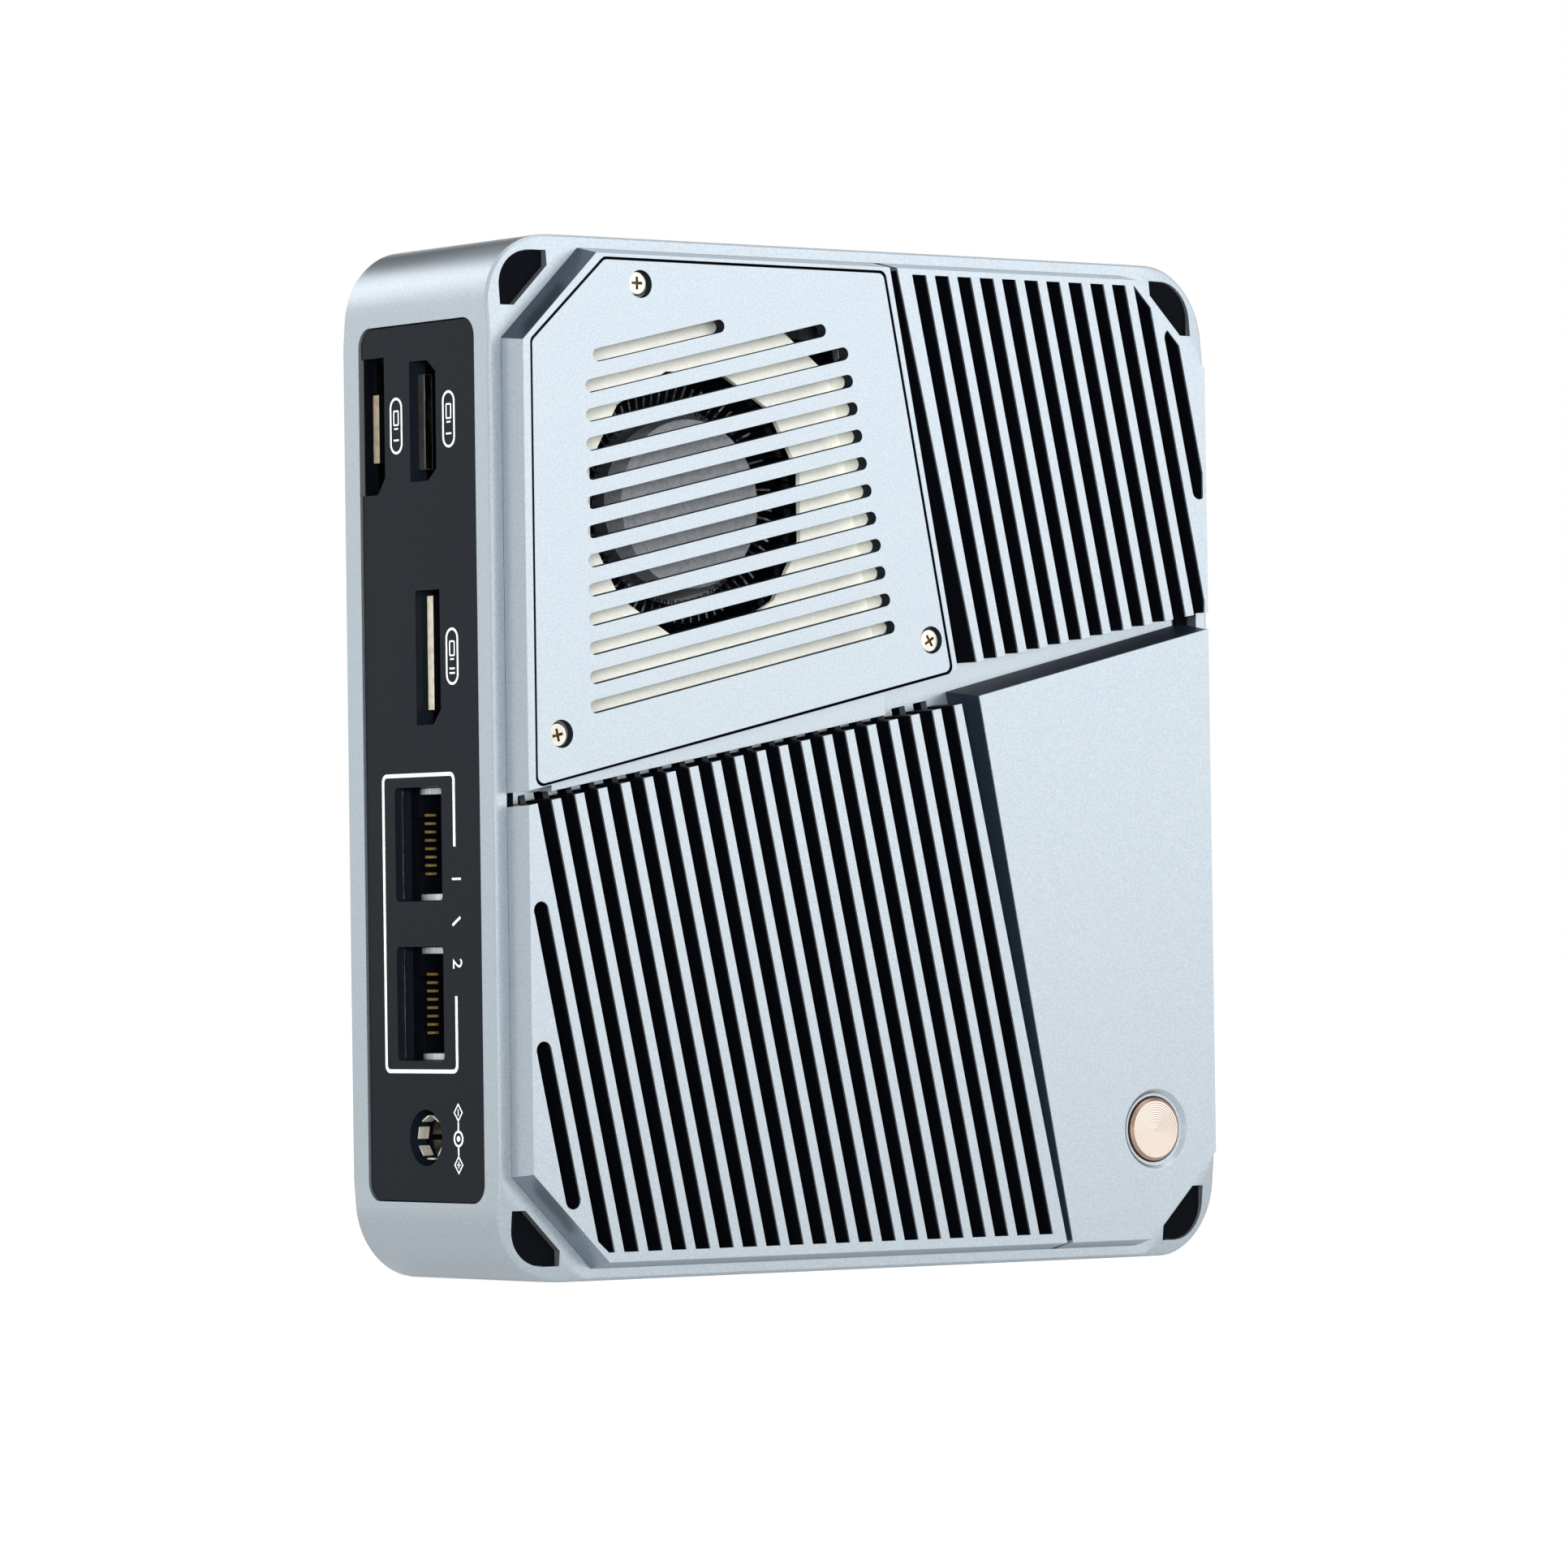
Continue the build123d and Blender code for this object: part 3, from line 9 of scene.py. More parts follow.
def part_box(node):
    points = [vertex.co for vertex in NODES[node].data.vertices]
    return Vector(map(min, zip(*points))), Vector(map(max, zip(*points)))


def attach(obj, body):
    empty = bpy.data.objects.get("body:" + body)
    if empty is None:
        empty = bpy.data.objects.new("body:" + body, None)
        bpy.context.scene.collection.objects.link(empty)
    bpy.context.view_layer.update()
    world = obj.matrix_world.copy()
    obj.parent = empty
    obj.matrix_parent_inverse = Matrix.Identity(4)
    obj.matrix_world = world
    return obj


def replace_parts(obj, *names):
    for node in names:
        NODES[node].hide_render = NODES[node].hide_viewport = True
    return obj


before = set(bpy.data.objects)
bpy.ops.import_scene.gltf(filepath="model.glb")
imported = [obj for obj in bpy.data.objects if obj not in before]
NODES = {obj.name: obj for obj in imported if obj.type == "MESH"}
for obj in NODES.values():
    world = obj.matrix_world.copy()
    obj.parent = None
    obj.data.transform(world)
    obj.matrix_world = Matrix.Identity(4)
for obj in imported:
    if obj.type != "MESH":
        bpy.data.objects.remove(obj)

bl_info = {
    "name": "Mini computer finish",
    "version": (1, 0, 0),
    "blender": (4, 5, 0),
    "location": "View3D > Sidebar > Mini computer",
    "description": "Dresses a packed mini computer with its paint, grilles, fan, button and sockets",
    "category": "Object",
}

CASE = "case"
BUTTON = "power_button"
ROTOR = "fan_rotor"
LOOKS = {}

MM = 0.001
SOFT_EDGE = 0.12 * MM       # usual rounding of a sheet or moulded edge
HAIR = 0.01 * MM            # slack when faces are picked by their place
SAME_SPOT = 0.001 * MM      # points closer than this are merged
FLAT_ANGLE = math.radians(0.8)
SOCKET_STEP = 1.3 * MM      # depth of the screen sockets' tongues behind the panel's face
CONTACT_PITCH = 1.016 * MM  # spacing of the network sockets' contacts

FRONT = Vector((0, -1, 0))
UP = Vector((0, 0, 1))
TO_FRONT = (math.radians(90), 0, 0)

COLOUR = "NodeSocketColor"
NUMBER = "NodeSocketFloat"
VECTOR = "NodeSocketVector"


def tone(red, green, blue):
    """Linear colour of a paint that reads as these screen values, 0 to 255."""
    def line(value):
        share = value / 255
        return share / 12.92 if share <= 0.04045 else ((share + 0.055) / 1.055) ** 2.4
    return (line(red), line(green), line(blue))


# ------------------------------------------------------------------ settings
class CaseFinish(bpy.types.PropertyGroup):
    """Paint and edge rounding of the metal case."""
    paint: FloatVectorProperty(
        name="Paint", description="Colour of the satin metallic paint", subtype="COLOR",
        size=3, min=0, max=1, default=tone(181, 189, 195))
    shade: FloatVectorProperty(
        name="Paint shade", description="Darker flakes in the paint", subtype="COLOR",
        size=3, min=0, max=1, default=tone(163, 172, 179))
    core: FloatVectorProperty(
        name="Core", description="Colour of the black plastic under the fins", subtype="COLOR",
        size=3, min=0, max=1, default=tone(7, 9, 14))
    edge: FloatProperty(
        name="Face edge", description="Rounding of the raised face's edges", unit="LENGTH",
        default=0.28 * MM)
    fin_edge: FloatProperty(
        name="Fin edge", description="Rounding along the fins", unit="LENGTH",
        default=0.2 * MM)


class FanFinish(bpy.types.PropertyGroup):
    """Sizes and colours of the blower behind the slanted vents."""
    blades: IntProperty(
        name="Blades", description="Number of curved blades on the wheel", default=71, min=7)
    blade_sweep: FloatProperty(
        name="Blade sweep", description="How far the outer end of a blade trails", unit="LENGTH",
        default=1.9 * MM)
    hub: FloatVectorProperty(
        name="Hub", description="Colour of the hub", subtype="COLOR",
        size=3, min=0, max=1, default=tone(146, 149, 154))
    plate: FloatVectorProperty(
        name="Plate", description="Colour of the pale plate round the wheel", subtype="COLOR",
        size=3, min=0, max=1, default=tone(247, 247, 238))


class ButtonFinish(bpy.types.PropertyGroup):
    """The turned metal cap of the power button."""
    grooves: IntProperty(
        name="Grooves", description="Number of turned rings on the cap", default=12, min=1)
    groove_depth: FloatProperty(
        name="Groove depth", description="Depth of each turned ring", unit="LENGTH",
        default=0.035 * MM)
    metal: FloatVectorProperty(
        name="Metal", description="Colour of the cap", subtype="COLOR",
        size=3, min=0, max=1, default=tone(238, 227, 216))


class PanelFinish(bpy.types.PropertyGroup):
    """The dark socket panels and the marks printed on them."""
    colour: FloatVectorProperty(
        name="Panel", description="Colour of the socket panels", subtype="COLOR",
        size=3, min=0, max=1, default=tone(14, 21, 28))
    ink: FloatVectorProperty(
        name="Ink", description="Colour of the printed marks", subtype="COLOR",
        size=3, min=0, max=1, default=tone(250, 250, 250))
    ink_height: FloatProperty(
        name="Ink height", description="Thickness of the printed marks", unit="LENGTH",
        default=0.02 * MM)
    pill_line: FloatProperty(
        name="Pill line", description="Line width of the rounded marks", unit="LENGTH",
        default=0.3 * MM)
    frame_line: FloatProperty(
        name="Frame line", description="Line width of the frame round the network sockets",
        unit="LENGTH", default=0.46 * MM)


class StudioFinish(bpy.types.PropertyGroup):
    """Camera and lamps."""
    lens: FloatProperty(
        name="Lens", description="Focal length in millimetres", default=183.91)
    yaw: FloatProperty(
        name="Yaw", description="Turn of the camera about the upright", subtype="ANGLE",
        default=math.radians(-37.372))
    tilt: FloatProperty(
        name="Tilt", description="Upward tilt of the camera", subtype="ANGLE",
        default=math.radians(1.183))
    roll: FloatProperty(
        name="Roll", description="Roll of the camera", subtype="ANGLE",
        default=math.radians(-0.794))
    place: FloatVectorProperty(
        name="Place", description="Where the camera stands", subtype="TRANSLATION", size=3,
        default=(-0.60886, -0.79528, 0.03957))
    front_light: FloatProperty(
        name="Front light", description="Power of the large front lamp", unit="POWER", default=3.8)
    back_light: FloatProperty(
        name="Back light", description="Power of the lamp behind, which edges the round corner",
        unit="POWER", default=1.0)
    side_light: FloatProperty(
        name="Side light", description="Power of the lamp that the socket side mirrors", unit="POWER",
        default=0.85)
    view_light: FloatProperty(
        name="View light", unit="POWER", default=34.0,
        description="Power of the lamp beside the camera, which reaches into the openings")
    top_light: FloatProperty(
        name="Top light", description="Power of the lamp overhead", unit="POWER", default=2.0)
    sky: FloatProperty(
        name="Sky", description="Level of the even light all round", default=0.5)


GROUPS = {
    "mini_case": CaseFinish,
    "mini_fan": FanFinish,
    "mini_button": ButtonFinish,
    "mini_panel": PanelFinish,
    "mini_studio": StudioFinish,
}


# ------------------------------------------------------------ modelling helps
def work_on(piece):
    """Make one piece the only selected and active object."""
    bpy.ops.object.select_all(action="DESELECT")
    piece.select_set(True)
    bpy.context.view_layer.objects.active = piece
    return piece


def named(name):
    """Name the object that was just added and return it."""
    piece = bpy.context.object
    piece.name = name
    piece.data.name = name
    return piece


def primitive(kind, name, **values):
    """Add a mesh primitive with all else deselected, and name it."""
    bpy.ops.object.select_all(action="DESELECT")
    getattr(bpy.ops.mesh, f"primitive_{kind}_add")(**values)
    return named(name)


def open_mesh(piece, mode="FACE", action="DESELECT"):
    """Enter edit mode with nothing or everything selected and return the live mesh."""
    work_on(piece)
    bpy.ops.object.mode_set(mode="EDIT")
    bpy.ops.mesh.select_mode(type=mode)
    bpy.ops.mesh.select_all(action=action)
    return bmesh.from_edit_mesh(piece.data)


def close_mesh():
    """Leave edit mode."""
    bpy.ops.object.mode_set(mode="OBJECT")


def pick(piece, mesh, faces):
    """Select these faces in the live mesh."""
    for face in faces:
        face.select_set(True)
    mesh.select_flush_mode()
    bmesh.update_edit_mesh(piece.data)


def open_toward(piece, way):
    """Enter edit mode with the faces selected that look this way."""
    mesh = open_mesh(piece)
    pick(piece, mesh, [f for f in mesh.faces if f.normal.dot(way) > 0.9])


def pull(move):
    """Extrude what is selected by this much."""
    bpy.ops.mesh.extrude_region_move(TRANSFORM_OT_translate={"value": move})


def face_outwards():
    """Turn every face of the open mesh to the outside."""
    bpy.ops.mesh.select_all(action="SELECT")
    bpy.ops.mesh.normals_make_consistent(inside=False)


def settle(piece):
    """Put the piece's place, turn and scale into its mesh."""
    work_on(piece)
    bpy.ops.object.transform_apply(location=True, rotation=True, scale=True)
    return piece


def put_on(piece, kind, **values):
    """Add a modifier with its values and apply it."""
    work_on(piece)
    step = piece.modifiers.new(kind.lower(), kind)
    for key, value in values.items():
        setattr(step, key, value)
    bpy.ops.object.modifier_apply(modifier=step.name)


def smooth(piece, angle=30.0):
    """Shade smooth across small angles, with the flats kept flat."""
    work_on(piece)
    bpy.ops.object.shade_smooth_by_angle(angle=math.radians(angle))
    put_on(piece, "WEIGHTED_NORMAL", keep_sharp=True)


def round_edges(piece, width, segments=2):
    """Round the sharp edges and give the flats their true shading."""
    put_on(piece, "BEVEL", width=width, segments=segments, limit_method="ANGLE",
           angle_limit=math.radians(30.0), miter_outer="MITER_ARC")
    smooth(piece)


def joined(name, pieces):
    """Join pieces into one and name it."""
    work_on(pieces[0])
    for piece in pieces:
        piece.select_set(True)
    bpy.ops.object.join()
    return named(name)


def copy_of(piece, name):
    """A copy of a piece with its own mesh."""
    twin = piece.copy()
    twin.data = piece.data.copy()
    twin.name = name
    twin.data.name = name
    bpy.context.scene.collection.objects.link(twin)
    return twin


def skin_of(node, name, width, segments=2, merge_flats=True):
    """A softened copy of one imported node, which it then stands for."""
    piece = copy_of(NODES[node], name)
    for key in list(piece.keys()):
        del piece[key]
    piece.parent = None
    work_on(piece)
    bpy.ops.mesh.customdata_custom_splitnormals_clear()
    open_mesh(piece, action="SELECT")
    bpy.ops.mesh.remove_doubles(threshold=SAME_SPOT)
    if merge_flats:
        bpy.ops.mesh.select_all(action="SELECT")
        bpy.ops.mesh.dissolve_limited(angle_limit=FLAT_ANGLE)
    close_mesh()
    round_edges(piece, width, segments)
    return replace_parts(piece, node)


def middle_of(node):
    """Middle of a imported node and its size."""
    low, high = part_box(node)
    return (low + high) / 2, high - low


def dress(piece, look, body=CASE):
    """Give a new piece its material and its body."""
    piece.data.materials.clear()
    piece.data.materials.append(look)
    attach(piece, body)
    return piece


def coat(node, name, look, width=SOFT_EDGE, segments=2, merge_flats=True):
    """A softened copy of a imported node, dressed in its finish."""
    return dress(skin_of(node, name, width, segments, merge_flats), look)


def refinish(piece, look, test):
    """Give the faces of a dressed piece that pass the test another finish."""
    piece.data.materials.append(look)
    last = len(piece.data.materials) - 1
    for face in piece.data.polygons:
        if test(face):
            face.material_index = last


def paint(look, *nodes):
    """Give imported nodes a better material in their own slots."""
    for node in nodes:
        piece = NODES[node]
        if not piece.material_slots:
            piece.data.materials.append(look)
        for holder in piece.material_slots:
            holder.link = "OBJECT"
            holder.material = look


# ------------------------------------------------------------------ materials
def add_node(tree, kind, **values):
    """Add a node; values are its settings or the defaults of its named inputs."""
    node = tree.nodes.new(kind)
    for key, value in values.items():
        if hasattr(node, key):
            setattr(node, key, value)
        else:
            node.inputs[key.replace("_", " ").capitalize()].default_value = value
    return node


def math_node(tree, operation, second=None):
    """Add a math node, with its second number if one is given."""
    node = add_node(tree, "ShaderNodeMath", operation=operation)
    if second is not None:
        node.inputs[1].default_value = second
    return node


def range_node(tree, low, high):
    """Add a node that spreads the values from low to high over 0 to 1."""
    node = add_node(tree, "ShaderNodeMapRange")
    node.inputs["From Min"].default_value = low
    node.inputs["From Max"].default_value = high
    return node


def wire(tree, *links):
    """Link pairs of sockets."""
    for source, target in links:
        tree.links.new(source, target)


def start_effect(name, *own_inputs):
    """Start a shader group with two colours, a range of roughness and its own inputs."""
    group = bpy.data.node_groups.new(name, "ShaderNodeTree")
    inputs = (
        ("Light", COLOUR, (0.8, 0.8, 0.8, 1)), ("Dark", COLOUR, (0.6, 0.6, 0.6, 1)), *own_inputs,
        ("Rough low", NUMBER, 0.2), ("Rough high", NUMBER, 0.35))
    for label, kind, value in inputs:
        socket = group.interface.new_socket(name=label, in_out="INPUT", socket_type=kind)
        socket.default_value = value
    for label, kind in (("Colour", COLOUR), ("Roughness", NUMBER), ("Height", NUMBER)):
        group.interface.new_socket(name=label, in_out="OUTPUT", socket_type=kind)
    place = add_node(group, "ShaderNodeTexCoord").outputs["Object"]
    return group, group.nodes.new("NodeGroupInput").outputs, place


def end_effect(group, given, mask, polish, height, ends=("Dark", "Light")):
    """Blend the two colours by a mask and the roughness by polish, and pass the height on."""
    leave = group.nodes.new("NodeGroupOutput")
    tint = add_node(group, "ShaderNodeMix", data_type="RGBA")
    rough = add_node(group, "ShaderNodeMapRange")
    wire(group,
         (mask, tint.inputs["Factor"]),
         (given[ends[0]], tint.inputs[6]),
         (given[ends[1]], tint.inputs[7]),
         (polish, rough.inputs["Value"]),
         (given["Rough low"], rough.inputs["To Min"]),
         (given["Rough high"], rough.inputs["To Max"]),
         (tint.outputs[2], leave.inputs["Colour"]),
         (rough.outputs["Result"], leave.inputs["Roughness"]),
         (height, leave.inputs["Height"]))
    return group


def fine_grain():
    """Effect for painted and moulded surfaces: flakes over a slow drift."""
    group, given, place = start_effect(
        "fine_grain", ("Flake scale", NUMBER, 5000.0), ("Drift scale", NUMBER, 30.0))
    flake = add_node(group, "ShaderNodeTexNoise", Detail=2.0)
    drift = add_node(group, "ShaderNodeTexNoise", Detail=3.0)
    crisp = range_node(group, 0.38, 0.62)
    blend = math_node(group, "MULTIPLY_ADD", 0.6)
    share = math_node(group, "MULTIPLY", 0.4)
    wire(group,
         (place, flake.inputs["Vector"]),
         (place, drift.inputs["Vector"]),
         (given["Flake scale"], flake.inputs["Scale"]),
         (given["Drift scale"], drift.inputs["Scale"]),
         (flake.outputs["Fac"], crisp.inputs["Value"]),
         (drift.outputs["Fac"], share.inputs[0]),
         (crisp.outputs["Result"], blend.inputs[0]),
         (share.outputs[0], blend.inputs[2]))
    return end_effect(group, given, blend.outputs[0], drift.outputs["Fac"], crisp.outputs["Result"])


def drawn_metal():
    """Effect for bare metal: long fine streaks along one axis and blotches of tarnish."""
    group, given, place = start_effect(
        "drawn_metal", ("Stretch", VECTOR, (1.0, 1.0, 0.05)), ("Streak scale", NUMBER, 3000.0))
    stretched = add_node(group, "ShaderNodeVectorMath", operation="MULTIPLY")
    streak = add_node(group, "ShaderNodeTexNoise", Detail=4.0)
    stain = add_node(group, "ShaderNodeTexNoise", Scale=250.0, Detail=2.0)
    mixed = math_node(group, "MULTIPLY")
    spread = range_node(group, 0.12, 0.4)
    wire(group,
         (place, stretched.inputs[0]),
         (given["Stretch"], stretched.inputs[1]),
         (stretched.outputs[0], streak.inputs["Vector"]),
         (place, stain.inputs["Vector"]),
         (given["Streak scale"], streak.inputs["Scale"]),
         (streak.outputs["Fac"], mixed.inputs[0]),
         (stain.outputs["Fac"], mixed.inputs[1]),
         (mixed.outputs[0], spread.inputs["Value"]))
    lines = streak.outputs["Fac"]
    return end_effect(group, given, spread.outputs["Result"], lines, lines)


def turned_rings():
    """Effect for a face turned on a lathe: even rings round a centre, facing the front."""
    group, given, place = start_effect(
        "turned_rings", ("Centre", VECTOR, (0, 0, 0)), ("Rings per metre", NUMBER, 3000.0))
    shift = add_node(group, "ShaderNodeVectorMath", operation="SUBTRACT")
    flat = add_node(group, "ShaderNodeVectorMath", operation="MULTIPLY")
    flat.inputs[1].default_value = (1, 0, 1)
    reach = add_node(group, "ShaderNodeVectorMath", operation="LENGTH")
    turns = math_node(group, "MULTIPLY")
    circle = math_node(group, "MULTIPLY", 2 * math.pi)
    wave = math_node(group, "COSINE")
    share = range_node(group, -1.0, 1.0)
    wire(group,
         (place, shift.inputs[0]),
         (given["Centre"], shift.inputs[1]),
         (shift.outputs[0], flat.inputs[0]),
         (flat.outputs[0], reach.inputs[0]),
         (reach.outputs["Value"], turns.inputs[0]),
         (given["Rings per metre"], turns.inputs[1]),
         (turns.outputs[0], circle.inputs[0]),
         (circle.outputs[0], wave.inputs[0]),
         (wave.outputs[0], share.inputs["Value"]))
    rings = share.outputs["Result"]
    return end_effect(group, given, rings, rings, rings)


def circuit_print():
    """Effect for circuit boards: a solder mask with small pads and parts."""
    group, given, place = start_effect("circuit_print", ("Track scale", NUMBER, 700.0))
    track = add_node(group, "ShaderNodeTexVoronoi", distance="CHEBYCHEV", Randomness=0.75)
    line = range_node(group, 0.28, 0.34)
    wire(group,
         (place, track.inputs["Vector"]),
         (given["Track scale"], track.inputs["Scale"]),
         (track.outputs["Distance"], line.inputs["Value"]))
    tracks = line.outputs["Result"]
    return end_effect(group, given, tracks, tracks, tracks, ("Light", "Dark"))


def look(name, effect, light, dark, rough, bump=0.0, settings=None, **shader):
    """A material, made once: one effect group into one shader, with an optional bump."""
    if name in LOOKS:
        return LOOKS[name]
    material = bpy.data.materials.new(name)
    LOOKS[name] = material
    material.use_nodes = True
    tree = material.node_tree
    body = tree.nodes["Principled BSDF"]
    pattern = tree.nodes.new("ShaderNodeGroup")
    pattern.node_tree = bpy.data.node_groups.get(effect.__name__) or effect()
    values = {"Light": (*light, 1.0), "Dark": (*dark, 1.0), "Rough low": rough[0], "Rough high": rough[1]}
    for key, value in (values | (settings or {})).items():
        pattern.inputs[key].default_value = value
    wire(tree,
         (pattern.outputs["Colour"], body.inputs["Base Color"]),
         (pattern.outputs["Roughness"], body.inputs["Roughness"]))
    if bump:
        relief = add_node(tree, "ShaderNodeBump", Strength=0.6, Distance=bump)
        wire(tree,
             (pattern.outputs["Height"], relief.inputs["Height"]),
             (relief.outputs["Normal"], body.inputs["Normal"]))
    for key, value in shader.items():
        body.inputs[key.replace("_", " ")].default_value = value
    material.diffuse_color = (*light, 1.0)
    return material


def grain(flakes, drift=None):
    """Settings of fine_grain: how fine the flakes and the slow drift are."""
    return {"Flake scale": flakes} | ({"Drift scale": drift} if drift else {})


def streaks(scale=None):
    """Settings of drawn_metal for a metal without a drawn direction."""
    return {"Stretch": (1.0, 1.0, 1.0)} | ({"Streak scale": scale} if scale else {})


def silver_paint():
    case = bpy.context.scene.mini_case
    return look("satin_silver", fine_grain, case.paint, case.shade, (0.24, 0.33), 0.004 * MM,
                grain(4200.0, 25.0), Metallic=0.85)


# painted shade: a dark copy of the satin paint, for the walls that face up and to the left
def matt_wall():
    return look("shaded_wall", fine_grain, tone(84, 95, 107), tone(70, 81, 93), (0.24, 0.32),
                settings=grain(4200.0, 120.0), Metallic=0.85)


# painted shade: a greyer copy of the satin paint, for diagonal walls turned away from the light
def painted_soft_shade():
    return look("painted_soft_shade", fine_grain, tone(146, 157, 167), tone(130, 141, 151), (0.24, 0.32),
                settings=grain(4200.0, 120.0), Metallic=0.85)


def vent_shadow():
    return look("vent_shadow", fine_grain, tone(26, 31, 38), tone(16, 20, 26), (0.5, 0.6),
                settings=grain(3200.0), Specular_IOR_Level=0.05)


def black_plastic():
    core = bpy.context.scene.mini_case.core
    return look("matt_black", fine_grain, core, tone(4, 5, 8), (0.4, 0.52), 0.006 * MM,
                grain(2600.0), Specular_IOR_Level=0.03)


def shaded_core():
    return look("shaded_core", fine_grain, tone(30, 38, 48), tone(20, 27, 36), (0.35, 0.45), 0.004 * MM,
                grain(3200.0), Specular_IOR_Level=0.3)


def dark_panel():
    panel = bpy.context.scene.mini_panel
    return look("glossy_charcoal", fine_grain, panel.colour, tone(14, 18, 22), (0.2, 0.25), 0.001 * MM,
                grain(6000.0, 18.0), Specular_IOR_Level=0.09)


def white_ink():
    panel = bpy.context.scene.mini_panel
    return look("white_ink", fine_grain, panel.ink, tone(236, 238, 240), (0.45, 0.6),
                settings=grain(9000.0, 200.0))


def cream_plastic():
    fan = bpy.context.scene.mini_fan
    return look("cream_moulding", fine_grain, fan.plate, tone(238, 238, 228), (0.42, 0.55), 0.004 * MM,
                grain(1800.0, 60.0))


def hub_plastic():
    fan = bpy.context.scene.mini_fan
    return look("hub_plastic", fine_grain, fan.hub, tone(122, 125, 130), (0.4, 0.55), 0.006 * MM,
                grain(2200.0, 90.0))


def blade_plastic():
    return look("blade_plastic", fine_grain, tone(40, 43, 48), tone(20, 22, 26), (0.14, 0.24),
                settings=grain(1500.0, 300.0), Coat_Weight=0.6)


# painted highlight: a pale colour for the blades' front edges
def blade_edge_highlight():
    return look("blade_edge_highlight", fine_grain, tone(205, 210, 214), tone(120, 125, 130), (0.2, 0.3),
                settings=grain(700.0, 300.0))


def pale_tongue():
    return look("pale_tongue", fine_grain, tone(206, 198, 180), tone(176, 166, 146), (0.4, 0.55),
                settings=grain(900.0, 260.0))


# painted shade: a darker copy of the pale tongue colour
def painted_shade_tongue():
    return look("painted_shade_tongue", fine_grain, tone(160, 146, 124), tone(130, 116, 96), (0.4, 0.55),
                settings=grain(900.0, 260.0))


def ledge_plastic():
    return look("ledge_plastic", fine_grain, tone(50, 48, 47), tone(36, 35, 35), (0.35, 0.5),
                settings=grain(1200.0, 90.0), Specular_IOR_Level=0.2)


def rubber():
    return look("soft_rubber", fine_grain, tone(40, 40, 42), tone(26, 26, 28), (0.6, 0.75), 0.02 * MM,
                grain(1600.0))


def back_paint():
    return look("rear_powder_coat", fine_grain, tone(66, 70, 76), tone(56, 60, 66), (0.42, 0.55),
                0.008 * MM, grain(2400.0, 25.0), Metallic=0.2)


def steel():
    return look("bright_steel", drawn_metal, tone(214, 214, 210), tone(150, 150, 148), (0.2, 0.32),
                0.002 * MM, Metallic=1.0)


def dark_steel():
    return look("dark_steel", drawn_metal, tone(92, 93, 96), tone(54, 55, 58), (0.26, 0.4),
                0.002 * MM, Metallic=1.0)


def nickel():
    return look("nickel_plate", drawn_metal, tone(230, 225, 214), tone(200, 193, 180), (0.3, 0.42),
                settings=streaks(900.0), Metallic=1.0)


# painted shade: a dark brown metal for the inside of a screw's cross recess
def recess_shade():
    return look("recess_shade", drawn_metal, tone(120, 96, 62), tone(70, 54, 36), (0.35, 0.5),
                settings=streaks(), Metallic=0.7)


def gold():
    return look("gold_flash", drawn_metal, tone(226, 186, 106), tone(178, 134, 66), (0.18, 0.3),
                Metallic=1.0)


def wire_gold():
    return look("wire_gold", drawn_metal, tone(140, 112, 66), tone(92, 70, 38), (0.25, 0.4),
                Metallic=1.0)


def leaf_steel():
    return look("leaf_steel", drawn_metal, tone(226, 220, 208), tone(180, 172, 158), (0.3, 0.45),
                Metallic=0.6)


def aluminium():
    return look("milled_aluminium", drawn_metal, tone(205, 207, 210), tone(160, 162, 166), (0.25, 0.4),
                0.002 * MM, Metallic=1.0)


def copper():
    return look("bare_copper", drawn_metal, tone(206, 132, 96), tone(150, 84, 56), (0.22, 0.36),
                0.002 * MM, Metallic=1.0)


def board():
    return look("solder_mask", circuit_print, tone(46, 60, 52), tone(14, 22, 20), (0.3, 0.5),
                0.01 * MM)


def cap_shadow():
    return look("cap_shadow", fine_grain, tone(46, 40, 38), tone(26, 22, 22), (0.5, 0.6),
                settings=grain(900.0), Specular_IOR_Level=0.1)


# painted reflection: a darker bronze for the cap's sloping rim
def cap_bevel_reflection():
    return look("cap_bevel_reflection", drawn_metal, tone(196, 168, 150), tone(150, 122, 106), (0.3, 0.42),
                settings=streaks(700.0), Metallic=1.0)


def cap_metal(centre, pitch):
    """The cap's face, with its rings round the centre, one to a groove."""
    button = bpy.context.scene.mini_button
    return look("cap_metal", turned_rings, button.metal, tone(196, 176, 160), (0.28, 0.38), 0.03 * MM,
                {"Centre": centre, "Rings per metre": 1 / pitch}, Metallic=1.0)


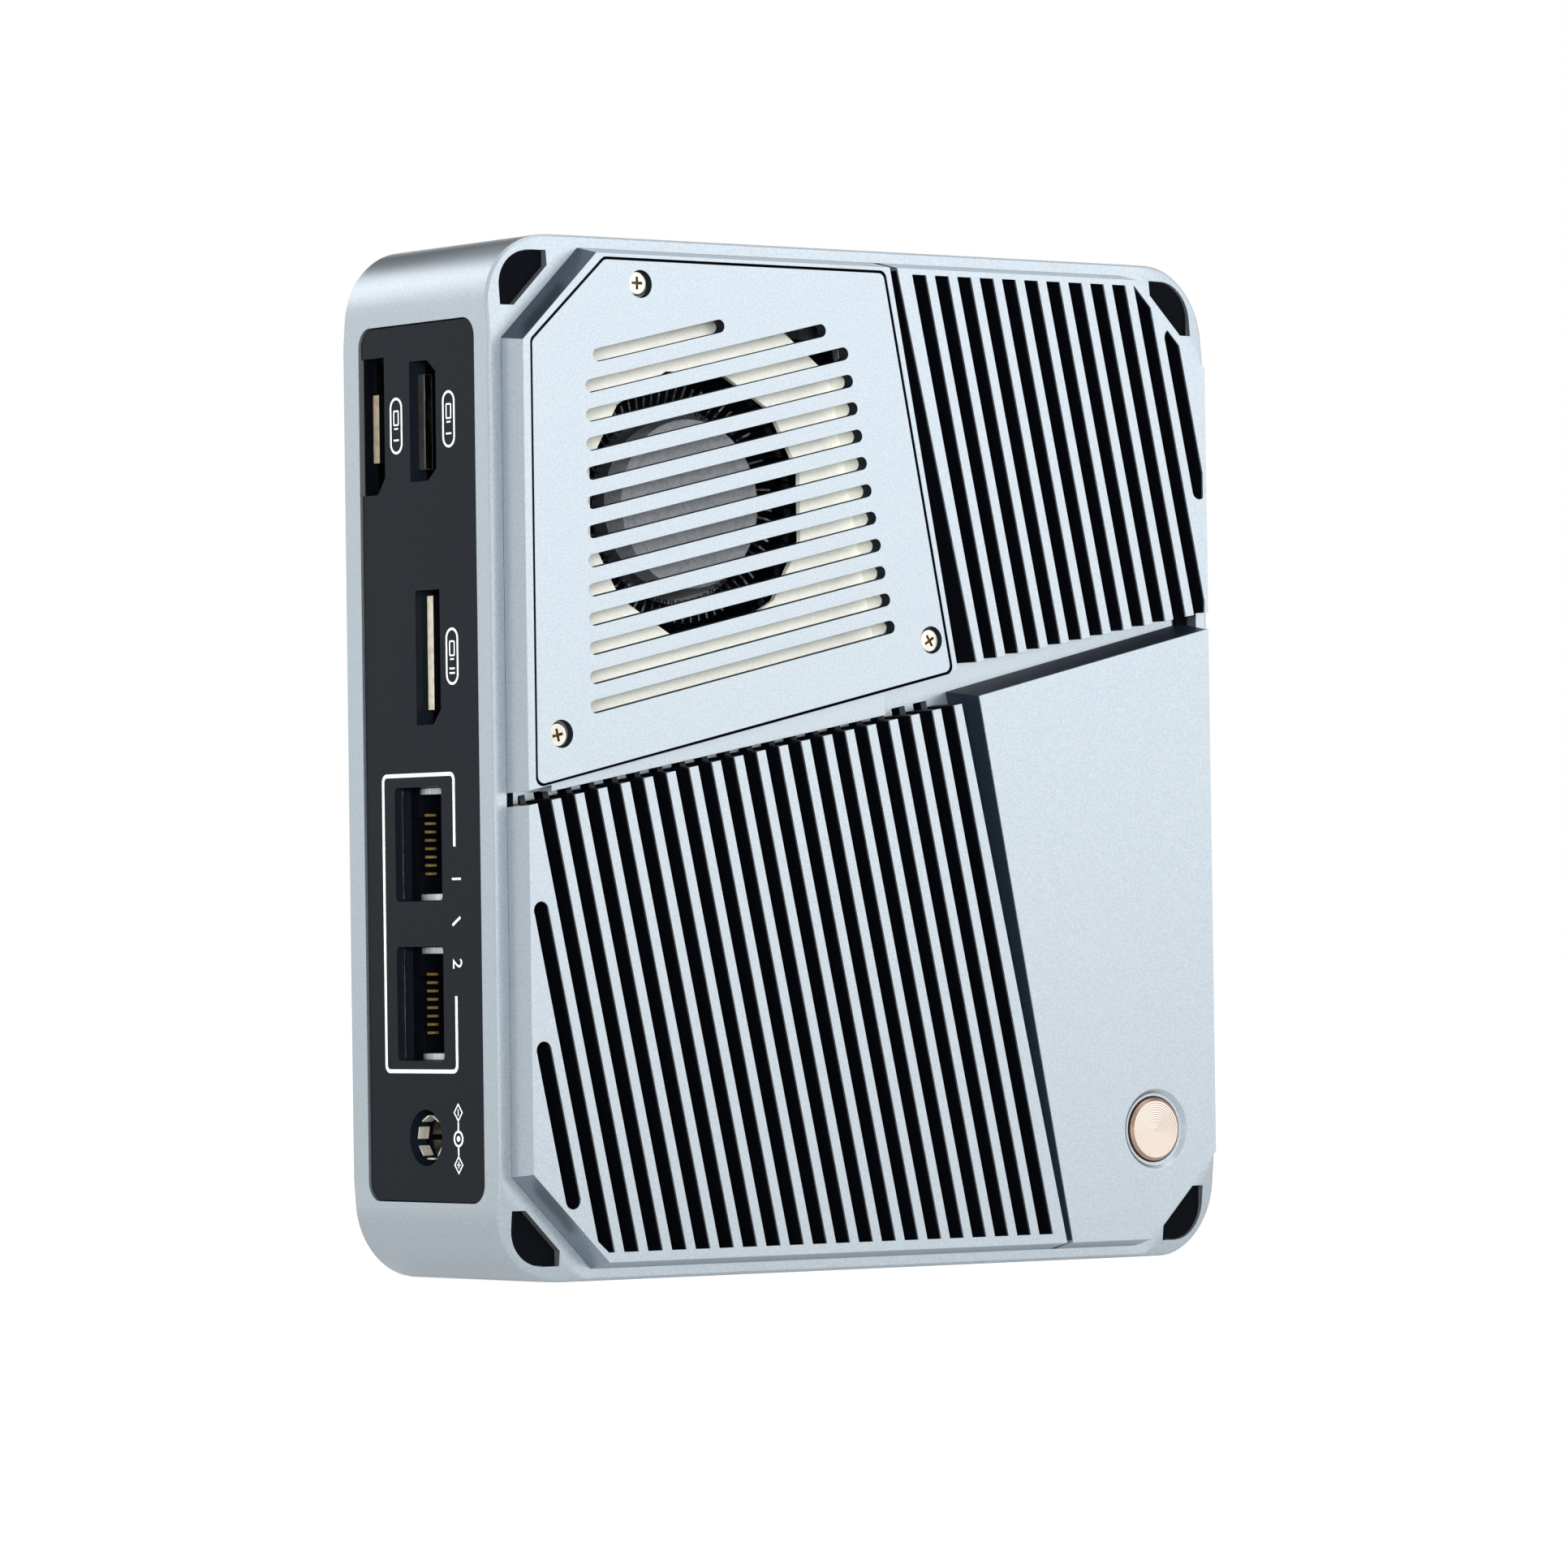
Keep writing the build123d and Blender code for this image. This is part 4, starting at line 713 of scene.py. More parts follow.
# ------------------------------------------------------------------ operators
class MINI_OT_case(bpy.types.Operator):
    """Soften and paint the metal ring, the raised quadrants and the channel between them"""
    bl_idname = "mini.case"
    bl_label = "Case and grilles"

    def execute(self, context):
        case = context.scene.mini_case
        silver = silver_paint()
        black = black_plastic()
        coat("housing", "case_ring", silver)
        for node, name in (("lower_grille_face", "lower_fins"), ("upper_grille_face", "upper_fins")):
            fins = coat(node, name, silver, case.fin_edge)
            # the fins' diagonal outer walls take the greyer copy of the paint, a painted shade
            refinish(fins, painted_soft_shade(), lambda f: f.normal.x < -0.5 and abs(f.normal.z) > 0.5)
        coat("button_panel", "plain_quadrant", silver, case.edge, 3)
        surround = coat("fan_bezel", "fan_surround", silver, case.edge * 0.7)
        middle = middle_of("fan_cover")[0]
        seat_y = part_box("fan_cover")[1].y
        # the surround's up-left diagonal walls take the dark copy of the paint, a painted shade
        refinish(surround, matt_wall(), lambda f: f.normal.x < -0.5 and f.normal.z > 0.5)
        # the bezel's inner walls round the window and the seat under the cover take the matt black, a
        # painted shade in the opening and the seam
        refinish(surround, black, lambda f: abs(f.normal.y) < 0.3 and f.normal.dot(middle - f.center) > 0)
        refinish(surround, black, lambda f: f.normal.y < -0.9 and abs(f.center.y - seat_y) < 0.3 * MM)
        coat("channel_deck", "channel_floor", silver, 0.1 * MM, 1, merge_flats=False)
        paint(black, "inner_frame", "lower_grille", "upper_grille")
        paint(shaded_core(), "button_block")
        return {"FINISHED"}


class MINI_OT_fan_cover(bpy.types.Operator):
    """Soften and paint the vented cover and model its cross-head screws"""
    bl_idname = "mini.fan_cover"
    bl_label = "Fan cover"

    def execute(self, context):
        cover = coat("fan_cover", "vent_plate", silver_paint(), 0.16 * MM, 3)
        # the cover is drawn in a little, more on its left, so that its seam shows
        pivot = middle_of("fan_cover")[0] + Vector((8 * MM, 0, 0))
        open_mesh(cover, action="SELECT")
        bpy.ops.transform.resize(value=(0.9938, 1, 0.9948), center_override=pivot)
        close_mesh()
        refinish(cover, vent_shadow(), lambda f: abs(f.normal.y) < 0.3)
        for number, turn in ((1, 0), (2, 32), (3, 13)):
            node = f"cover_screw_{number}"
            head = cross_screw(node, f"vent_screw_{number}", turn, -1, nickel())
            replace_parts(head, node)
        return {"FINISHED"}


def cross_screw(node, name, turn, toward, finish):
    """Pan-head screw with a cross recess, at a packed screw's place; toward is the head's side."""
    low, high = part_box(node)
    centre, size = middle_of(node)
    radius = size.x / 2
    head_depth = 0.62 * MM
    dome = 0.3 * MM
    neck_r = 0.8 * MM
    recess_r = 1.0 * MM
    recess_depth = 0.5 * MM
    head = settle(primitive("cylinder", name, vertices=48, radius=radius, depth=head_depth,
                            location=(0, 0, -head_depth / 2)))
    open_toward(head, UP)
    bpy.ops.mesh.bevel(offset=dome, segments=4, profile=0.5)
    close_mesh()
    open_toward(head, -UP)
    bpy.ops.mesh.inset(thickness=radius - neck_r)
    pull((0, 0, head_depth - size.y))
    close_mesh()
    cutter = cross_cutter(f"{name}_cutter", turn)
    put_on(head, "BOOLEAN", operation="DIFFERENCE", object=cutter, solver="EXACT")
    bpy.data.objects.remove(cutter)
    smooth(head)
    head.data.materials.append(finish)
    # the faces of the cross recess take the dark brown, a painted shade in the recess
    refinish(head, recess_shade(), lambda f: math.hypot(f.center.x, f.center.y) < recess_r
             and -recess_depth < f.center.z < -HAIR)
    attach(head, CASE)
    face_y = low.y if toward < 0 else high.y
    upright = Matrix.Rotation(math.radians(90 * -toward), 4, "X")
    head.data.transform(Matrix.Translation((centre.x, face_y, centre.z)) @ upright)
    return head


def cross_cutter(name, turn):
    """Tapered cross that stands in the top of a screw head at the origin."""
    half = 0.2 * MM
    arm = 0.7 * MM
    height = 2.2
    taper = 0.75
    cross = primitive("cube", name, size=2 * half)
    cross.scale.z = height
    settle(cross)
    for way in (Vector((1, 0, 0)), Vector((-1, 0, 0)), Vector((0, 1, 0)), Vector((0, -1, 0))):
        mesh = open_mesh(cross)
        end = [f for f in mesh.faces if f.normal.dot(way) > 0.9
               and abs(f.calc_center_median().dot(way) - half) < HAIR
               and f.calc_center_median().cross(way).length < HAIR]
        pick(cross, mesh, end)
        pull(way * arm)
        close_mesh()
    open_toward(cross, -UP)
    bpy.ops.transform.resize(value=(taper, taper, 1), center_override=(0, 0, 0))
    close_mesh()
    cross.rotation_euler.z = math.radians(turn)
    return settle(cross)


class MINI_OT_fan(bpy.types.Operator):
    """Model the blower wheel with its curved blades and finish the parts round it"""
    bl_idname = "mini.fan"
    bl_label = "Blower wheel"

    def execute(self, context):
        fan = context.scene.mini_fan
        centre, size = middle_of("impeller")
        low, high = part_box("impeller")
        magnet_low, magnet_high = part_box("rotor_magnet")
        hub_r = (magnet_high.x - magnet_low.x) / 2 + 1.0 * MM
        hub = fan_hub(centre, hub_r, low.y, high.y)
        dress(hub, hub_plastic(), ROTOR)
        fan_blades(centre, hub_r, size.x / 2, low.y + 1.0 * MM, high.y, fan)
        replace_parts(hub, "impeller")
        coat("blower_bracket", "wheel_plate", cream_plastic())
        paint(black_plastic(), "blower_housing")
        paint(dark_steel(), "rotor_magnet")
        paint(hub_plastic(), "fan_shaft")
        paint(copper(), "stator")
        return {"FINISHED"}


def fan_hub(centre, radius, front_y, back_y):
    """Hub cup with a soft shoulder, one moulded ring and a hollow back."""
    wall = 1.0 * MM
    ring_from_rim = 1.5 * MM
    ring_width = 0.15 * MM
    ring_depth = 0.12 * MM
    shoulder = 0.45 * MM
    hub = settle(primitive(
        "cylinder", "wheel_hub", vertices=96, radius=radius, depth=back_y - front_y,
        rotation=TO_FRONT, location=(centre.x, (front_y + back_y) / 2, centre.z)))
    open_toward(hub, FRONT)
    bpy.ops.mesh.inset(thickness=ring_from_rim)
    bpy.ops.mesh.inset(thickness=ring_width)
    bpy.ops.transform.translate(value=(0, ring_depth, 0))
    close_mesh()
    open_toward(hub, -FRONT)
    bpy.ops.mesh.inset(thickness=wall)
    pull((0, wall - (back_y - front_y), 0))
    close_mesh()
    round_edges(hub, shoulder, 4)
    return hub


def fan_blades(centre, hub_r, outer_r, front_y, back_y, fan):
    """Carrier disc, outer ring and a full turn of thin curved blades."""
    start_r = hub_r + 1.3 * MM
    middle_y = (front_y + back_y) / 2
    blade_thick = 0.28 * MM
    curl = 1.8
    root = 0.35
    root_cut = 2.4 * MM
    rim_width = 0.6 * MM
    rim_thick = 0.55 * MM
    blade = primitive("grid", "wheel_blades", x_subdivisions=7, y_subdivisions=2, size=1,
                      rotation=TO_FRONT)
    blade.scale = (outer_r - start_r, back_y - front_y, 1)
    blade.location = ((outer_r + start_r) / 2, middle_y, 0)
    settle(blade)
    for point in blade.data.vertices:
        share = (point.co.x - start_r) / (outer_r - start_r)
        point.co.z = -fan.blade_sweep * share ** curl
        point.co.x = math.sqrt(max(point.co.x ** 2 - point.co.z ** 2, 0))
        if share < root and point.co.y < middle_y:
            point.co.y += (root - share) * root_cut
    put_on(blade, "SOLIDIFY", thickness=blade_thick, offset=0)
    blade.data.transform(Matrix.Translation((centre.x, 0, centre.z)))
    open_mesh(blade, action="SELECT")
    turn = 2 * math.pi * (fan.blades - 1) / fan.blades
    bpy.ops.mesh.spin(steps=fan.blades - 1, dupli=True, angle=turn, center=(centre.x, 0, centre.z),
                      axis=(0, 1, 0))
    close_mesh()
    washers = (("disc", hub_r, start_r + 0.5 * MM), ("ring", outer_r - rim_width, outer_r))
    rims = [flat_washer(f"wheel_{label}", inner, outer, rim_thick, centre, back_y)
            for label, inner, outer in washers]
    wheel = joined("wheel_blades", [blade, *rims])
    smooth(wheel, 35.0)
    wheel.data.materials.append(blade_plastic())
    # the blades' front edges take the pale colour, a painted highlight on the dark blades
    lit_r = start_r + 0.4 * MM
    refinish(wheel, blade_edge_highlight(), lambda f: f.normal.y < -0.5 and f.center.y < back_y - 1.0 * MM
             and off_axis(f.center, centre) > lit_r)
    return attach(wheel, ROTOR)


def flat_washer(name, inner, outer, thick, centre, back_y):
    """Thin ring that faces the front, with its back at back_y."""
    ring = settle(primitive("circle", name, vertices=96, radius=outer, fill_type="NGON",
                            rotation=TO_FRONT))
    open_mesh(ring, action="SELECT")
    bpy.ops.mesh.inset(thickness=outer - inner)
    bpy.ops.mesh.delete(type="FACE")
    bpy.ops.mesh.select_all(action="SELECT")
    pull((0, -thick, 0))
    face_outwards()
    close_mesh()
    ring.data.transform(Matrix.Translation((centre.x, back_y, centre.z)))
    return ring


def off_axis(spot, centre):
    """Distance of a spot from the front-to-back axis through centre."""
    return math.hypot(spot.x - centre.x, spot.z - centre.z)


class MINI_OT_button(bpy.types.Operator):
    """Model the power button's turned metal cap"""
    bl_idname = "mini.button"
    bl_label = "Power button"

    def execute(self, context):
        button = context.scene.mini_button
        low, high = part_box("power_cap")
        centre, size = middle_of("power_cap")
        radius = size.x / 2
        cap_back = low.y + 2.0 * MM
        stem_r = 1.6 * MM
        rim = 0.5 * MM
        seam = 0.12 * MM
        slope = 0.42 * MM
        pitch = (radius - rim - 0.15 * MM) / button.grooves
        cap = settle(primitive(
            "cylinder", "button_cap", vertices=128, radius=radius, depth=cap_back - low.y,
            rotation=TO_FRONT, location=(centre.x, (low.y + cap_back) / 2, centre.z)))
        open_toward(cap, -FRONT)
        bpy.ops.mesh.inset(thickness=radius - stem_r)
        pull((0, high.y - cap_back, 0))
        close_mesh()
        open_toward(cap, FRONT)
        bpy.ops.mesh.inset(thickness=seam)
        bpy.ops.mesh.inset(thickness=rim - seam)
        for ring in range(button.grooves):
            for share, shift in ((0.3, 1), (0.2, 0), (0.3, -1), (0.2, 0)):
                if ring == button.grooves - 1 and share == 0.2:
                    continue
                bpy.ops.mesh.inset(thickness=share * pitch)
                bpy.ops.transform.translate(value=(0, shift * button.groove_depth, 0))
        close_mesh()
        # the outer corner is cut back to a sloping edge
        for point in cap.data.vertices:
            reach = off_axis(point.co, centre)
            if reach > radius - rim + HAIR and point.co.y < low.y + 0.1 * MM:
                point.co.y += slope * (reach - radius + rim) / rim
        put_on(cap, "WEIGHTED_NORMAL", keep_sharp=True)
        smooth(cap, 24.0)
        dress(cap, cap_metal(centre, pitch), BUTTON)
        # the sloping rim takes the darker bronze, a painted reflection, and the thin seam ring a painted
        # shadow
        for finish, width in ((cap_bevel_reflection(), rim), (cap_shadow(), seam)):
            refinish(cap, finish, lambda f: f.center.y < cap_back
                     and off_axis(f.center, centre) > radius - width)
        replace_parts(cap, "power_cap")
        paint(black_plastic(), "power_plunger", "power_switch")
        return {"FINISHED"}


class MINI_OT_sockets(bpy.types.Operator):
    """Finish the socket panels and the metal and plastic of every socket"""
    bl_idname = "mini.sockets"
    bl_label = "Socket panels"

    def execute(self, context):
        coat("port_panel", "socket_panel", dark_panel())
        coat("io_panel", "data_panel", dark_panel())
        paint(dark_steel(), "wide_video_port", "video_port_1", "video_port_2")
        paint(steel(), "data_port_1", "data_port_2", "small_data_port")
        paint(black_plastic(), "network_port_1", "network_port_2", "dc_jack", "audio_jack",
              "wide_video_tongue")
        paint(pale_tongue(), "video_tongue_1", "video_tongue_2")
        paint(gold(), "network_contacts_1", "network_contacts_2")
        paint(nickel(), "dc_contact")
        for number in (1, 2):
            node = f"network_port_{number}"
            dress(network_shield(node, f"network_shield_{number}"), steel())
            dress(network_wires(node, f"network_wires_{number}"), wire_gold())
        # a black strip over the silver wall in the first screen socket's mouth, a painted shade
        dress(video_mouth_shade(), black_plastic())
        # the first socket's tongue tip takes the darker copy of the pale tongue colour, a painted shade;
        # the second keeps the pale one
        for number, shift, length in ((1, -0.5 * MM, 8.4 * MM), (2, 0.15 * MM, 13.9 * MM)):
            tongue = video_tongue(f"video_tongue_{number}", f"video_tip_{number}", shift, length)
            dress(tongue, painted_shade_tongue() if number == 1 else pale_tongue())
            refinish(tongue, black_plastic(), lambda f: f.normal.x > -0.5)
        dress(inlet_leaves(), leaf_steel())
        ledge, lip = wide_socket_steps()
        dress(ledge, ledge_plastic())
        dress(lip, steel())
        return {"FINISHED"}


def plate(name, centre, size):
    """Small square-cornered plate, as a start for sheet-metal pieces."""
    piece = primitive("cube", name, size=1, location=centre)
    piece.scale = size
    return settle(piece)


def turned_plate(name, size, axis, turn, place):
    """Small plate turned about one axis of the frame, with its middle at a place."""
    piece = plate(name, (0, 0, 0), size)
    setattr(piece.rotation_euler, axis, turn)
    piece.location = place
    return settle(piece)


def rounded(name, pieces, width):
    """Join small plates into one piece and round its edges."""
    made = joined(name, pieces)
    round_edges(made, width)
    return made


def video_mouth_shade():
    """Dark strip over the far wall of the first screen socket's opening: a painted shade that hides the
    silver wall there.
    """
    strip_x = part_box("port_panel")[0].x + 1.0 * MM
    wall_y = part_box("video_tongue_1")[0].y + 3.03 * MM
    middle_z = middle_of("video_port_1")[0].z + 0.05 * MM
    strip_size = (1.5 * MM, 0.1 * MM, 17.0 * MM)
    return plate("video_mouth_shade", (strip_x, wall_y, middle_z), strip_size)


def video_tongue(node, name, shift, length):
    """Front end of a screen socket's tongue, where it stands in the panel's opening."""
    middle = middle_of(node)[0]
    overlap = 0.4 * MM
    inwards = 1.5 * MM
    thick = 1.35 * MM
    front_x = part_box("port_panel")[0].x + SOCKET_STEP
    back_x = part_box(node)[0].x + overlap
    tip = plate(name, ((front_x + back_x) / 2, middle.y + inwards, middle.z + shift),
                (back_x - front_x, thick, length))
    round_edges(tip, 0.15 * MM)
    return tip


def wide_socket_steps():
    """Plastic ledge and thin metal lip that show in the mouth of the wide screen socket."""
    middle = middle_of("wide_video_port")[0]
    step_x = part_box("port_panel")[0].x + SOCKET_STEP
    ledge_place = (step_x + 0.6 * MM, middle.y + 1.5 * MM, middle.z)
    ledge_size = (1.2 * MM, 1.8 * MM, 11.6 * MM)
    lip_place = (step_x + 0.4 * MM, middle.y + 0.52 * MM, middle.z)
    lip_size = (1.0 * MM, 0.12 * MM, 11.4 * MM)
    ledge = plate("wide_ledge", ledge_place, ledge_size)
    round_edges(ledge, 0.1 * MM)
    lip = plate("wide_lip", lip_place, lip_size)
    round_edges(lip, 0.03 * MM)
    return ledge, lip


def inlet_leaves():
    """Sprung leaves round the mouth of the power inlet."""
    middle = middle_of("dc_jack")[0]
    mouth_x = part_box("port_panel")[0].x + 1.4 * MM
    count = 7
    reach = 2.55 * MM
    leaf_size = (1.5 * MM, 1.5 * MM, 0.22 * MM)
    leaves = []
    for number in range(count):
        turn = math.radians(360 / count * (number + 0.5))
        place = (mouth_x, middle.y - reach * math.sin(turn), middle.z + reach * math.cos(turn))
        leaves.append(turned_plate(f"leaf_{number}", leaf_size, "x", turn, place))
    return rounded("inlet_leaves", leaves, 0.06 * MM)


def network_wires(node, name):
    """Eight sprung contact wires that slope through the mouth of a network socket."""
    middle = middle_of(node)[0]
    wire_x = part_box(node)[0].x + 0.7 * MM
    wire_y = middle.y + 1.8 * MM
    wire_size = (1.45 * MM, 0.22 * MM, 0.34 * MM)
    slope = math.radians(-40)
    wires = []
    for number in range(8):
        place = (wire_x, wire_y, middle.z + (number - 3.5) * CONTACT_PITCH)
        wires.append(turned_plate(f"{name}_{number}", wire_size, "z", slope, place))
    return rounded(name, wires, 0.05 * MM)


def network_shield(node, name):
    """Bright metal strips round the mouth of one network socket."""
    mouth_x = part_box(node)[0].x
    middle = middle_of(node)[0]
    half_h = 6.85 * MM
    flange_size = (0.2 * MM, 7.4 * MM, 0.8 * MM)
    edge_place = (mouth_x - 1.3 * MM, middle.y + 4.78 * MM, middle.z)
    edge_size = (0.24 * MM, 0.2 * MM, 2 * half_h - 0.5 * MM)
    strips = []
    for side in (-1, 1):
        place = (mouth_x - 0.12 * MM, middle.y - 1.0 * MM, middle.z + side * (half_h - 0.42 * MM))
        strips.append(plate(f"{name}_flange_{side}", place, flange_size))
    strips.append(plate(f"{name}_edge", edge_place, edge_size))
    return rounded(name, strips, 0.05 * MM)


# --------------------------------------------------------------- printed marks
def hollowed(piece, line):
    """Leave only an outline of this width of a flat shape, or all of it if line is 0."""
    if line:
        open_mesh(piece, action="SELECT")
        bpy.ops.mesh.inset(thickness=line)
        bpy.ops.mesh.delete(type="FACE")
        close_mesh()
    return piece


def flat_shape(name, length, width, corner=0, line=0):
    """Outline of a rounded bar, or a filled one if line is 0; its length lies along X."""
    piece = primitive("plane", name, size=1)
    piece.scale = (length, width, 1)
    settle(piece)
    if corner:
        open_mesh(piece, "VERT", "SELECT")
        bpy.ops.mesh.bevel(affect="VERTICES", offset=corner, segments=8, clamp_overlap=False)
        close_mesh()
    return hollowed(piece, line)


def flat_disc(name, radius, line=0, corners=40):
    """Outline of a disc, or of a diamond with four corners; filled if line is 0."""
    return hollowed(primitive("circle", name, vertices=corners, radius=radius, fill_type="NGON"), line)


def flat_text(name, words, height):
    """A plain numeral as a flat mesh, centred."""
    height_share = 0.7  # of the font's size
    bpy.ops.object.select_all(action="DESELECT")
    bpy.ops.object.text_add()
    piece = named(name)
    piece.data.body = words
    piece.data.size = height / height_share
    piece.data.align_x = "CENTER"
    piece.data.align_y = "CENTER"
    work_on(piece)
    bpy.ops.object.convert(target="MESH")
    return named(name)


def on_panel(piece, y, z, along=0.0):
    """Lay a flat mark on the socket panel, shifted along its own length, which runs down."""
    face_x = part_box("port_panel")[0].x
    turn = Matrix(((0, 0, -1, face_x), (0, -1, 0, y), (-1, 0, 0, z), (0, 0, 0, 1)))
    piece.data.transform(turn @ Matrix.Translation((along, 0, 0)))
    return piece


class MINI_OT_marks(bpy.types.Operator):
    """Print the plain marks beside the sockets"""
    bl_idname = "mini.marks"
    bl_label = "Printed marks"

    def execute(self, context):
        panel = context.scene.mini_panel
        marks = []
        # place across the panel, height and number of bars of each screen mark
        pills = ((-5.5 * MM, 104.0 * MM, 1), (5.6 * MM, 103.8 * MM, 1), (-5.6 * MM, 75.4 * MM, 2))
        for number, (y, z, bars) in enumerate(pills, 1):
            marks.extend(screen_mark(number, y, z, bars, panel.pill_line))
        marks.append(network_frame(panel.frame_line))
        numeral_y, numeral_h = -5.8 * MM, 1.9 * MM
        for words, z in (("1", 48.6 * MM), ("2", 38.4 * MM)):
            marks.append(on_panel(flat_text(f"numeral_{words}", words, numeral_h), numeral_y, z))
        slash = flat_shape("numeral_stroke", 1.9 * MM, 0.34 * MM)
        slash.data.transform(Matrix.Rotation(math.radians(-60), 4, "Z"))
        marks.append(on_panel(slash, numeral_y, 43.5 * MM))
        marks.extend(polarity_marks(panel.pill_line))
        printed = joined("panel_marks", marks)
        open_mesh(printed, action="SELECT")
        pull((-panel.ink_height, 0, 0))
        face_outwards()
        close_mesh()
        dress(printed, white_ink())
        return {"FINISHED"}


def screen_mark(number, y, z, bars, line):
    """Rounded outline with a screen, its stand and one or two bars."""
    # name, length, width, corner, line and shift along the mark
    shapes = [
        (f"pill_{number}", 6.9 * MM, 2.6 * MM, 1.29 * MM, line, 0.0),
        (f"screen_{number}", 1.9 * MM, 1.15 * MM, 0.2 * MM, 0.2 * MM, -0.95 * MM),
        (f"stand_{number}", 0.2 * MM, 0.8 * MM, 0, 0, 0.35 * MM),
    ]
    for bar in range(bars):
        along = 1.75 * MM + (bar - (bars - 1) / 2) * 0.55 * MM
        shapes.append((f"bar_{number}_{bar}", 0.22 * MM, 1.1 * MM, 0, 0, along))
    return [on_panel(flat_shape(*sizes), y, z, along) for *sizes, along in shapes]


def network_frame(line):
    """Rounded frame round both network sockets, open on the side of the numerals."""
    low_z, high_z = 25.2 * MM, 61.5 * MM
    near_y, far_y = -5.8 * MM, 9.6 * MM
    gap_low, gap_high = 34.5 * MM, 52.5 * MM
    outline = flat_shape("network_frame", high_z - low_z, far_y - near_y, 1.0 * MM, line)
    outline = on_panel(outline, (near_y + far_y) / 2, (low_z + high_z) / 2)
    for cut_z in (gap_low, gap_high):
        open_mesh(outline, action="SELECT")
        bpy.ops.mesh.bisect(plane_co=(0, 0, cut_z), plane_no=(0, 0, 1))
        close_mesh()
    mesh = open_mesh(outline)
    spots = [(face, face.calc_center_median()) for face in mesh.faces]
    pick(outline, mesh, [face for face, spot in spots
                         if spot.y < near_y + 1.0 * MM and gap_low < spot.z < gap_high])
    bpy.ops.mesh.delete(type="FACE")
    close_mesh()
    return outline


def polarity_marks(line):
    """Polarity symbol of the power inlet: two diamonds, a ring and a dot on one line."""
    y = -5.65 * MM
    minus_z, plus_z = 20.5 * MM, 14.2 * MM
    pole_z = (minus_z + plus_z) / 2
    made = []
    for label, z in (("minus", minus_z), ("plus", plus_z)):
        diamond = flat_disc(f"{label}_diamond", 1.15 * MM, 0.2 * MM, 4)
        diamond.data.transform(Matrix.Diagonal((1, 0.82, 1, 1)))
        made.append(on_panel(diamond, y, z))
        made.append(on_panel(flat_shape(f"{label}_down", 0.8 * MM, 0.17 * MM), y, z))
    made.append(on_panel(flat_shape("plus_across", 0.17 * MM, 0.7 * MM), y, plus_z))
    made.append(on_panel(flat_disc("pole_ring", 1.0 * MM, line * 0.9), y, pole_z))
    made.append(on_panel(flat_disc("pole_dot", 0.35 * MM), y, pole_z))
    for shift in (1.5 * MM, -1.5 * MM):
        made.append(on_panel(flat_shape("pole_link", 1.0 * MM, 0.25 * MM), y, pole_z + shift))
    return made


# ------------------------------------------------------ inside, back and studio
class MINI_OT_inside(bpy.types.Operator):
    """Finish the board, the cooler and the cards inside the case"""
    bl_idname = "mini.inside"
    bl_label = "Inside parts"

    def execute(self, context):
        paint(board(), "mainboard", "memory_module", "ssd", "radio_card")
        # the heat pipe takes the matt black, so it reads dark behind the fan plate
        paint(black_plastic(), "heat_pipe", "memory_socket")
        paint(copper(), "cold_plate")
        paint(aluminium(), "fin_stack", "cpu_package")
        paint(steel(), "button_cell")
        return {"FINISHED"}


class MINI_OT_back(bpy.types.Operator):
    """Finish the back cover, its screws and its feet"""
    bl_idname = "mini.back"
    bl_label = "Back cover and feet"

    def execute(self, context):
        coat("back_cover", "rear_plate", back_paint())
        for number in (1, 2, 3, 4):
            screw = f"back_screw_{number}"
            head = cross_screw(screw, f"rear_screw_{number}", 25 * number, 1, dark_steel())
            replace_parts(head, screw)
            paint(rubber(), f"foot_{number}")
        return {"FINISHED"}


class MINI_OT_studio(bpy.types.Operator):
    """Set the floor, the backdrop, the lamps and the camera"""
    bl_idname = "mini.studio"
    bl_label = "Studio"

    def execute(self, context):
        studio = context.scene.mini_studio
        context.scene.view_settings.view_transform = "Standard"
        floor = primitive("plane", "studio_floor", size=8.0, location=(0, 0, 0))
        floor.data.materials.append(floor_look())
        backdrop_world(context.scene, studio.sky)
        # name, place, width and power
        lamps = (
            ("front_lamp", (0.86, -1.2, 0.42), 1.1, studio.front_light),
            ("back_lamp", (-0.42, 1.12, 0.75), 0.5, studio.back_light),
            ("side_lamp", (-0.95, 1.2, 0.15), 1.0, studio.side_light),
            ("view_lamp", (-0.655, -0.945, 0.042), 0.5, studio.view_light),
            ("top_lamp", (0.2, -0.4, 1.4), 0.8, studio.top_light),
        )
        for name, place, size, power in lamps:
            stand = square_lamp(context.scene, name, place, size, power)
            stand.visible_glossy = name != "view_lamp"
        card = primitive("plane", "dark_card", size=1, location=(0.5, 1.15, 0.82))
        card.scale = (0.9, 0.5, 1)
        card.rotation_euler = aimed(card.location, (0, 0, 0.1))
        card.data.materials.append(rubber())
        context.scene.camera = studio_camera(context.scene, studio)
        return {"FINISHED"}


def aimed(place, target):
    """Turn of a lamp or a card that stands at a place and looks at a target."""
    return (Vector(target) - Vector(place)).to_track_quat("-Z", "Y").to_euler()


def square_lamp(scene, name, place, size, power):
    """Square area lamp that looks at the middle of the object."""
    lamp = bpy.data.lights.new(name, "AREA")
    lamp.shape = "SQUARE"
    lamp.size = size
    lamp.energy = power
    stand = bpy.data.objects.new(name, lamp)
    scene.collection.objects.link(stand)
    stand.location = place
    stand.rotation_euler = aimed(place, (0, 0, 0.06))
    return stand


